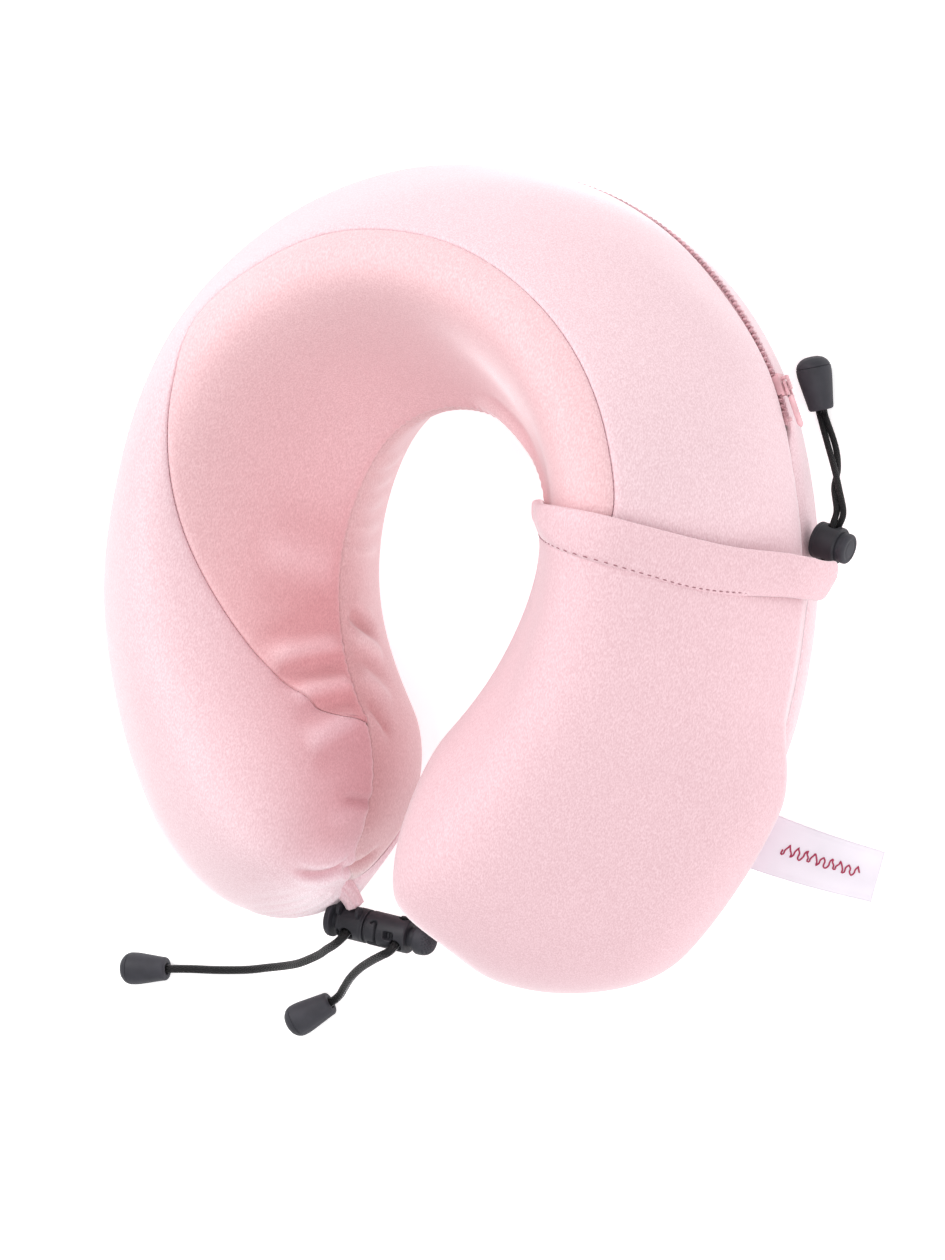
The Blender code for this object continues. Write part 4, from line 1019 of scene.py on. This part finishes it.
def spring(name, low, high, radius, wire, turns, place, body, cad):
    """A coil spring, its coils closer together towards both ends."""
    turn, origin = place
    a = np.linspace(0, 2 * pi * turns, 26 * turns)
    closing = np.clip(np.minimum(a, a[-1] - a) / (2 * pi), 0, 1)
    rise = np.concatenate(([0.0], np.cumsum((0.25 + 0.75 * closing)[1:])))
    z = low + wire + (high - low - 2 * wire) * rise / rise[-1]
    path = np.stack((radius * np.cos(a), radius * np.sin(a), z), axis=1) @ np.array(turn).T + origin
    piece = sweep(name, path, wire, WIRE, body, 10, None, [cad])
    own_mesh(piece)


spring("left_coil", -3.9, 3.9, 2.2, 0.35, 6, CLASP, "pillow", "clasp_left_spring")
spring("right_coil", 6.9, 11.3, 2.2, 0.3, 3, CLASP, "clasp_right", "clasp_right_spring")

# ---- arm end tabs ------------------------------------------------------------------------------
def tab(name, route, start, end, cad):
    """A short gathered sleeve of the cover's cloth, with pleats along it."""
    path = smooth_route(route, 0.5)

    def pleats(angle, walked):
        share = smooth(walked / walked.max())
        fold = 0.05 * np.cos(9 * angle + 0.5 * np.sin(walked)) + 0.03 * np.cos(14 * angle + 1.0)
        return (start + (end - start) * share) / end * (1 + fold)

    set_fold_shade(sweep(name, path, end, VELOUR_SIDE, "pillow", 84, pleats, [cad]))


LEFT_TAB = ((-28.5, -223.5, 56.5), (-23.4, -227.2, 54.8), (-19.2, -231.0, 52.5), (-16.9, -235.2, 50.2))
RIGHT_TAB = ((25.2, -227.9, 54.0), (21.6, -229.4, 52.6), (18.0, -230.5, 51.2))
tab("left_sleeve", LEFT_TAB, 5.2, 3.5, "left_end_tab")
tab("right_sleeve", RIGHT_TAB, 5.6, 2.9, "right_end_tab")

# ---- pocket lock -------------------------------------------------------------------------------
LOCK_AT = np.array((139.0, -70.1, 29.0))
LOCK_AXIS = unit(np.array((0.99, -0.13, 0.06)))
LOCK_SIDE = unit(np.cross((0, 1, 0), LOCK_AXIS))
LOCK_ALONG = np.cross(LOCK_AXIS, LOCK_SIDE)
LOCK = (np.stack((LOCK_SIDE, LOCK_ALONG, LOCK_AXIS), axis=1), LOCK_AT)


def lock_relief(angle, radius, height):
    deep = 0.0
    for way in (pi / 2, -pi / 2):
        deep = deep + 3.2 * step_in(slab(wrapped(angle, way) * 6.8, height - 0.5, 3.3, 1.7, 1.3), 0.6)
    ring = 0.25 * np.exp(-((height + 3.4) / 0.3) ** 2)
    return (radius > 6.0) * (deep + ring)


lathe("lock_barrel", ((0, 4.9), (5.7, 4.9), (6.3, 4.9), (6.8, 4.3), (6.8, -4.6), (6.2, -5.2), (0, -5.2)), PLASTIC,
      "pocket_lock", LOCK, segments=160, spacing=0.3, relief=lock_relief, replaces=["pocket_lock"])
lathe("lock_plunger", ((0, 8.6), (4.7, 8.6), (5.5, 8.0), (5.6, 6.6), (5.4, 6.3), (5.4, -1.9), (0, -1.9)), RUBBERY,
      "pocket_lock_button", LOCK, segments=96,
      relief=lambda a, r, h: 0.3 * (h > 8.4) * np.exp(-((r - 3.4) / 0.4) ** 2), replaces=["pocket_lock_button"])
spring("lock_coil", -4.2, -2.0, 3.6, 0.25, 2, LOCK, "pocket_lock", "pocket_lock_spring")


def strand_route(offset):
    """A strand's way through the lock and up to the bell: the two turn round each other on the way."""
    middle = [LOCK_AT + LOCK_AXIS * 0.5 + LOCK_ALONG * reach for reach in (-8.0, 0, 6.5, 12.0)]
    middle += [np.array(p) for p in ((136.2, -50.6, 23.5), (131.6, -43.4, 16.0), (125.6, -35.6, 9.0))]
    middle += [along_bell(POCKET_BELL, depth) for depth in (-2.0, 1.0, KNOT_AT - 1.0)]
    turns = (0, 0, 30, 80, 120, 190, 250, 270, 270, 270)                # degrees round the middle line
    shares = (1, 1, 0.9, 0.85, 1.1, 0.8, 1.0, 0.83, 0.83, 0.83)         # of the strands' distance
    route = []
    for place, turned, share in zip(middle, turns, shares):
        route.append(place + offset * share * (LOCK_SIDE * cos(radians(turned)) + LOCK_AXIS * sin(radians(turned))))
    return route


pocket_bell = bell("pocket_cord_bell", POCKET_BELL, "pillow")
for strand_name, offset, pieces, far_end in (("pocket_cord_upper", -STRAND, pocket_bell, "fitting"),
                                             ("pocket_cord_lower", STRAND, (), "knot")):
    route = strand_route(offset)
    cord(strand_name + "_braid", route, STRAND_R, "pillow", [strand_name])

hem_t = np.linspace(POCKET_LOW, POCKET_HIGH, 16)[1:-1]
hem_s = hem_line(hem_t) + hem_width(hem_t) * 0.4
hem_path = smooth_route(over_skin(hem_s, hem_t, 3.2 + 0.78 * hem_standing_out(hem_t)), 1.2)
sweep("hem_drawcord", hem_path, STRAND_R - 0.2, BRAID, "pillow", 16, None, ["hem_cord"])

# ---- zip ---------------------------------------------------------------------------------------
ZIP_N, ZIP_Z = spline(SECTION_BACK, np.array(ZIP_SEAM)) * (HALF_WIDTH[0], HEIGHT[0])
ZIP_R = ARCS[0][0] + ZIP_N
NECK_CENTRE = np.array((0.0, -ARCS[0][0], 0.0))


def zip_tape(name, near, far, cad):
    """A woven tape behind the panels' folded edges, with a bead where it holds the coil."""
    rows = np.linspace(-ZIP_END, ZIP_END, 150)
    offset = np.linspace(near, far, 14)
    s, offset = np.broadcast_arrays(rows[:, None], offset[None, :])
    t = ZIP_SEAM + offset / section_speed(s, np.full_like(s, ZIP_SEAM))
    points = over_skin(s, t, -1.75 - 0.25 * np.cos(offset * 1.9))
    solidify(mesh_object(name, points, grid_faces(*s.shape), TAPE, "pillow", [cad]), 0.4)


zip_tape("tape_upper", 0.35, 8.0, "zip_tape_upper")
zip_tape("tape_lower", -8.0, -0.35, "zip_tape_lower")


def zip_coil(name, side, cad):
    """One side of the nylon coil: small rounded teeth that mesh with the other side's."""
    pitch = 1.5
    turn_at = np.arange(-ZIP_END + 3, ZIP_END - 3, pitch) + (pitch / 2 if side > 0 else 0.0)
    angle = turn_at / ARCS[0][0]
    out = np.stack((np.sin(angle), np.cos(angle), np.zeros_like(angle)), axis=1)
    along = np.stack((out[:, 1], -out[:, 0], out[:, 2]), axis=1)
    up = np.broadcast_to(np.array((0.0, 0.0, 1.0)), out.shape)
    centres = NECK_CENTRE + out * (ZIP_R - 0.9) + up * (ZIP_Z + side * 0.95)
    beads(name, centres, (up, along, out), (1.25, 0.42, 0.75), ((-1.0, 0.6), (-0.7, 1.0), (0.7, 1.0), (1.0, 0.6)), 8,
          ZIP_PINK, [cad])


zip_coil("coil_upper", 1, "zip_teeth_upper")
zip_coil("coil_lower", -1, "zip_teeth_lower")


def zip_place(angle, lift=0.0):
    """Local X along the zip away from its closed end, Y out and Z up."""
    out = np.array((sin(radians(angle)), cos(radians(angle)), 0.0))
    along = np.array((-out[1], out[0], 0.0))
    return np.stack((along, out, (0, 0, 1)), axis=1), NECK_CENTRE + out * (ZIP_R + lift) + (0, 0, ZIP_Z)


def bevelled(name, boxes, look, body, place, bevel=0.35, segments=3, replaces=(), shape=None):
    """Joined rounded boxes, each from a low to a high corner, in a local frame."""
    turn, origin = place
    bm = bmesh.new()
    for low, high in boxes:
        low, high = np.array(low, float), np.array(high, float)
        made = bmesh.ops.create_cube(bm, size=1.0)["verts"]
        for v in made:
            v.co = Vector(((low + high) / 2 + np.array(v.co) * (high - low)).tolist())
    bmesh.ops.bevel(bm, geom=bm.edges[:], offset=bevel, segments=segments, profile=0.6, affect="EDGES")
    if shape:
        for v in bm.verts:
            v.co = Vector(shape(np.array(v.co)))
    points = np.array([v.co for v in bm.verts]) @ np.array(turn).T + origin
    faces = [[v.index for v in f.verts] for f in bm.faces]
    bm.free()
    return mesh_object(name, points, faces, look, body, replaces)


for stop, angle in (("zip_top_stop", STOP_ANGLE), ("zip_bottom_stop", -STOP_ANGLE)):
    bevelled(stop + "_staple", [((-0.7, -1.1, -2.3), (0.7, 0.5, 2.3))], ENAMEL, "pillow", zip_place(angle),
             replaces=[stop])


def slider_body():
    """A die-cast slider: a plate over the coil, two side flanges and the bridge that holds the pull."""
    place = zip_place(SLIDER_ANGLE)
    boxes = [((-4.2, 0.8, -3.2), (4.2, 1.9, 3.2)), ((-3.6, -0.7, -3.2), (3.6, 1.4, -2.65)),
             ((-3.6, -0.7, 2.65), (3.6, 1.4, 3.2)), ((-2.7, 1.5, -0.8), (-1.5, 4.2, 0.8)),
             ((1.5, 1.5, -0.8), (2.7, 4.2, 0.8)), ((-2.7, 3.6, -0.8), (2.7, 4.5, 0.8))]
    bevelled("slider", boxes, ENAMEL, "zip_slider", place, bevel=0.24, replaces=["zip_slider"],
             shape=lambda v: (v[0], v[1], v[2] * (0.86 + 0.14 * cos(v[0] * 0.42))) if abs(v[2]) > 1 else tuple(v))


slider_body()


def pull():
    place = zip_place(SLIDER_ANGLE, 3.0)
    steps = np.linspace(-17.0, -4.6, 26)
    outline, n = [], 20
    ring = np.linspace(0, 2 * pi, n, endpoint=False)
    for x in steps:
        v = (x + 17.0) / 12.4
        round_end = sqrt(max(1 - (1 - min(v / 0.16, 1.0)) ** 2, 0.0004))
        half_width = (1.5 + 0.9 * sin(pi * min(v * 0.86 + 0.12, 1.0))) * round_end
        thick = 0.55 * max(round_end, 0.25)
        for a in ring:
            c, d = cos(a), sin(a)
            outline.append((x, thick * np.sign(d) * abs(d) ** 0.6, half_width * np.sign(c) * abs(c) ** 0.6))
    points = np.array(outline)
    points[:, 1] += 0.14 * np.exp(-((np.abs(points[:, 2]) - 1.4) / 0.3) ** 2) * np.sign(points[:, 1])
    faces = grid_faces(len(steps), n, wrap_columns=True).tolist()
    faces += [list(range(n))[::-1], [(len(steps) - 1) * n + k for k in range(n)]]
    turn, origin = place
    mesh_object("pull_leaf", points @ np.array(turn).T + origin, faces, PULL_PINK, "zip_pull", ["zip_pull"])
    link = bevelled("pull_link", [((-5.6, -0.45, -2.1), (0.6, 0.45, -1.2)), ((-5.6, -0.45, 1.2), (0.6, 0.45, 2.1)),
                                  ((-0.4, -0.45, -1.6), (0.5, 0.45, 1.6)), ((-5.8, -0.45, -2.1), (-4.6, 0.45, 2.1))],
                    ENAMEL, "zip_pull", place, bevel=0.2)
    return link


pull()

# ---- side label --------------------------------------------------------------------------------
LABEL_S = (201.0, 218.0)
LABEL_OUT = ((173.4, -176.9, 12.0), (170.5, -196.5, 9.5))


def side_label():
    """A folded satin tag, blank, with its long edges turned in, which droops and curls a little."""
    rows, columns = 60, 34
    u, v = np.meshgrid(np.linspace(0, 1, rows), np.linspace(0, 1, columns), indexing="ij")
    roots = skin_point(np.array(LABEL_S), ZIP_SEAM) + skin_normal(np.array(LABEL_S), ZIP_SEAM) * 0.3
    ends = np.array(LABEL_OUT)
    root = roots[0] + (roots[1] - roots[0]) * v[..., None]
    end = ends[0] + (ends[1] - ends[0]) * v[..., None]
    points = root + (end - root) * u[..., None]
    up = unit(np.cross(ends[0] - roots[0], roots[1] - roots[0]))
    up = up * np.sign(up[2])
    arch = 3.0 * np.sin(pi * u) + 0.7 * np.sin(2 * pi * v) * u - 1.0 * u ** 3 * (v - 0.5)
    edge = np.minimum(v, 1 - v) * 21.0
    turned_in = 0.22 * step_in(edge - 1.6, 0.5) + 0.18 * step_in((1 - u) * 52 - 1.5, 0.5)
    points = points + up * (arch + turned_in)[..., None]
    flip = np.cross(points[1, 0] - points[0, 0], points[0, 1] - points[0, 0])[2] < 0
    piece = mesh_object("label", points, grid_faces(rows, columns, flip=not flip), SATIN, "pillow",
                        ["side_label"])
    solidify(piece, 0.4)
    # a plain woven zigzag in place of print
    along = np.linspace(0.30, 0.86, 61)
    swing = 0.5 + 0.12 * (2 * np.abs((along * 16) % 1 - 0.5) * 2 - 1)
    line = [points[round(a * (rows - 1)), round(b * (columns - 1))] for a, b in zip(along, swing)]
    woven = sweep("label_zigzag", smooth_route(line, 0.6) + up * 0.1, 0.32, MOTIF, "pillow", 8, None, ())


side_label()

# ---- floor, light and camera -------------------------------------------------------------------
FLOOR_GLOW, SKY_STRENGTH = 0.5, 0.60      # a plain white setting, with the pillow lit from all round

floor_look = new_material("floor", (0.90, 0.90, 0.90), 0.7, Specular_IOR_Level=0.1, Emission_Color=(1, 1, 1, 1),
                          Emission_Strength=FLOOR_GLOW)[0]
bpy.ops.mesh.primitive_plane_add(size=8.0, location=(0, 0, -0.0004))
floor = bpy.context.object
floor.name = "floor"
floor.data.materials.append(floor_look)

world = bpy.data.worlds.new("studio")
bpy.context.scene.world = world
world.use_nodes = True
world.node_tree.nodes["Background"].inputs["Color"].default_value = (1.0, 1.0, 1.0, 1.0)
world.node_tree.nodes["Background"].inputs["Strength"].default_value = SKY_STRENGTH


def area_light(name, at_mm, aim_mm, size, power, colour=(1, 1, 1)):
    data = bpy.data.lights.new(name, "AREA")
    data.shape, data.size, data.energy, data.color = "DISK", size, power, colour
    lamp = bpy.data.objects.new(name, data)
    lamp.location = Vector(at_mm) * MM
    lamp.rotation_euler = (Vector(aim_mm) - Vector(at_mm)).to_track_quat("-Z", "Y").to_euler()
    bpy.context.scene.collection.objects.link(lamp)


area_light("key", (-700, 500, 1300), (0, -100, 50), 0.9, 17.0)
area_light("fill", (900, -500, 1100), (0, -100, 50), 1.1, 8.0)

# the camera looks down on LOOK_AT, is turned by ROLL and aimed aside by AIM_OFFSET
data = bpy.data.cameras.new("camera")
data.lens = LENS_MM
data.sensor_width = 36.0
camera = bpy.data.objects.new("camera", data)
bpy.context.scene.collection.objects.link(camera)
bpy.context.scene.camera = camera
back = np.array((sin(TILT) * cos(LEAN), sin(LEAN), cos(TILT) * cos(LEAN)))
right = unit(np.cross((0, 1, 0), back))
up = np.cross(back, right)
right, up = cos(ROLL) * right + sin(ROLL) * up, cos(ROLL) * up - sin(ROLL) * right
eye = LOOK_AT + back * CAMERA_DISTANCE
back = unit(eye - (LOOK_AT + right * AIM_OFFSET[0] + up * AIM_OFFSET[1]))
right = unit(np.cross(up, back))
up = np.cross(back, right)
matrix = np.eye(4)
matrix[:3, 0], matrix[:3, 1], matrix[:3, 2], matrix[:3, 3] = right, up, back, eye * MM
camera.matrix_world = Matrix(matrix.tolist())
bpy.context.scene.view_settings.view_transform = "Standard"
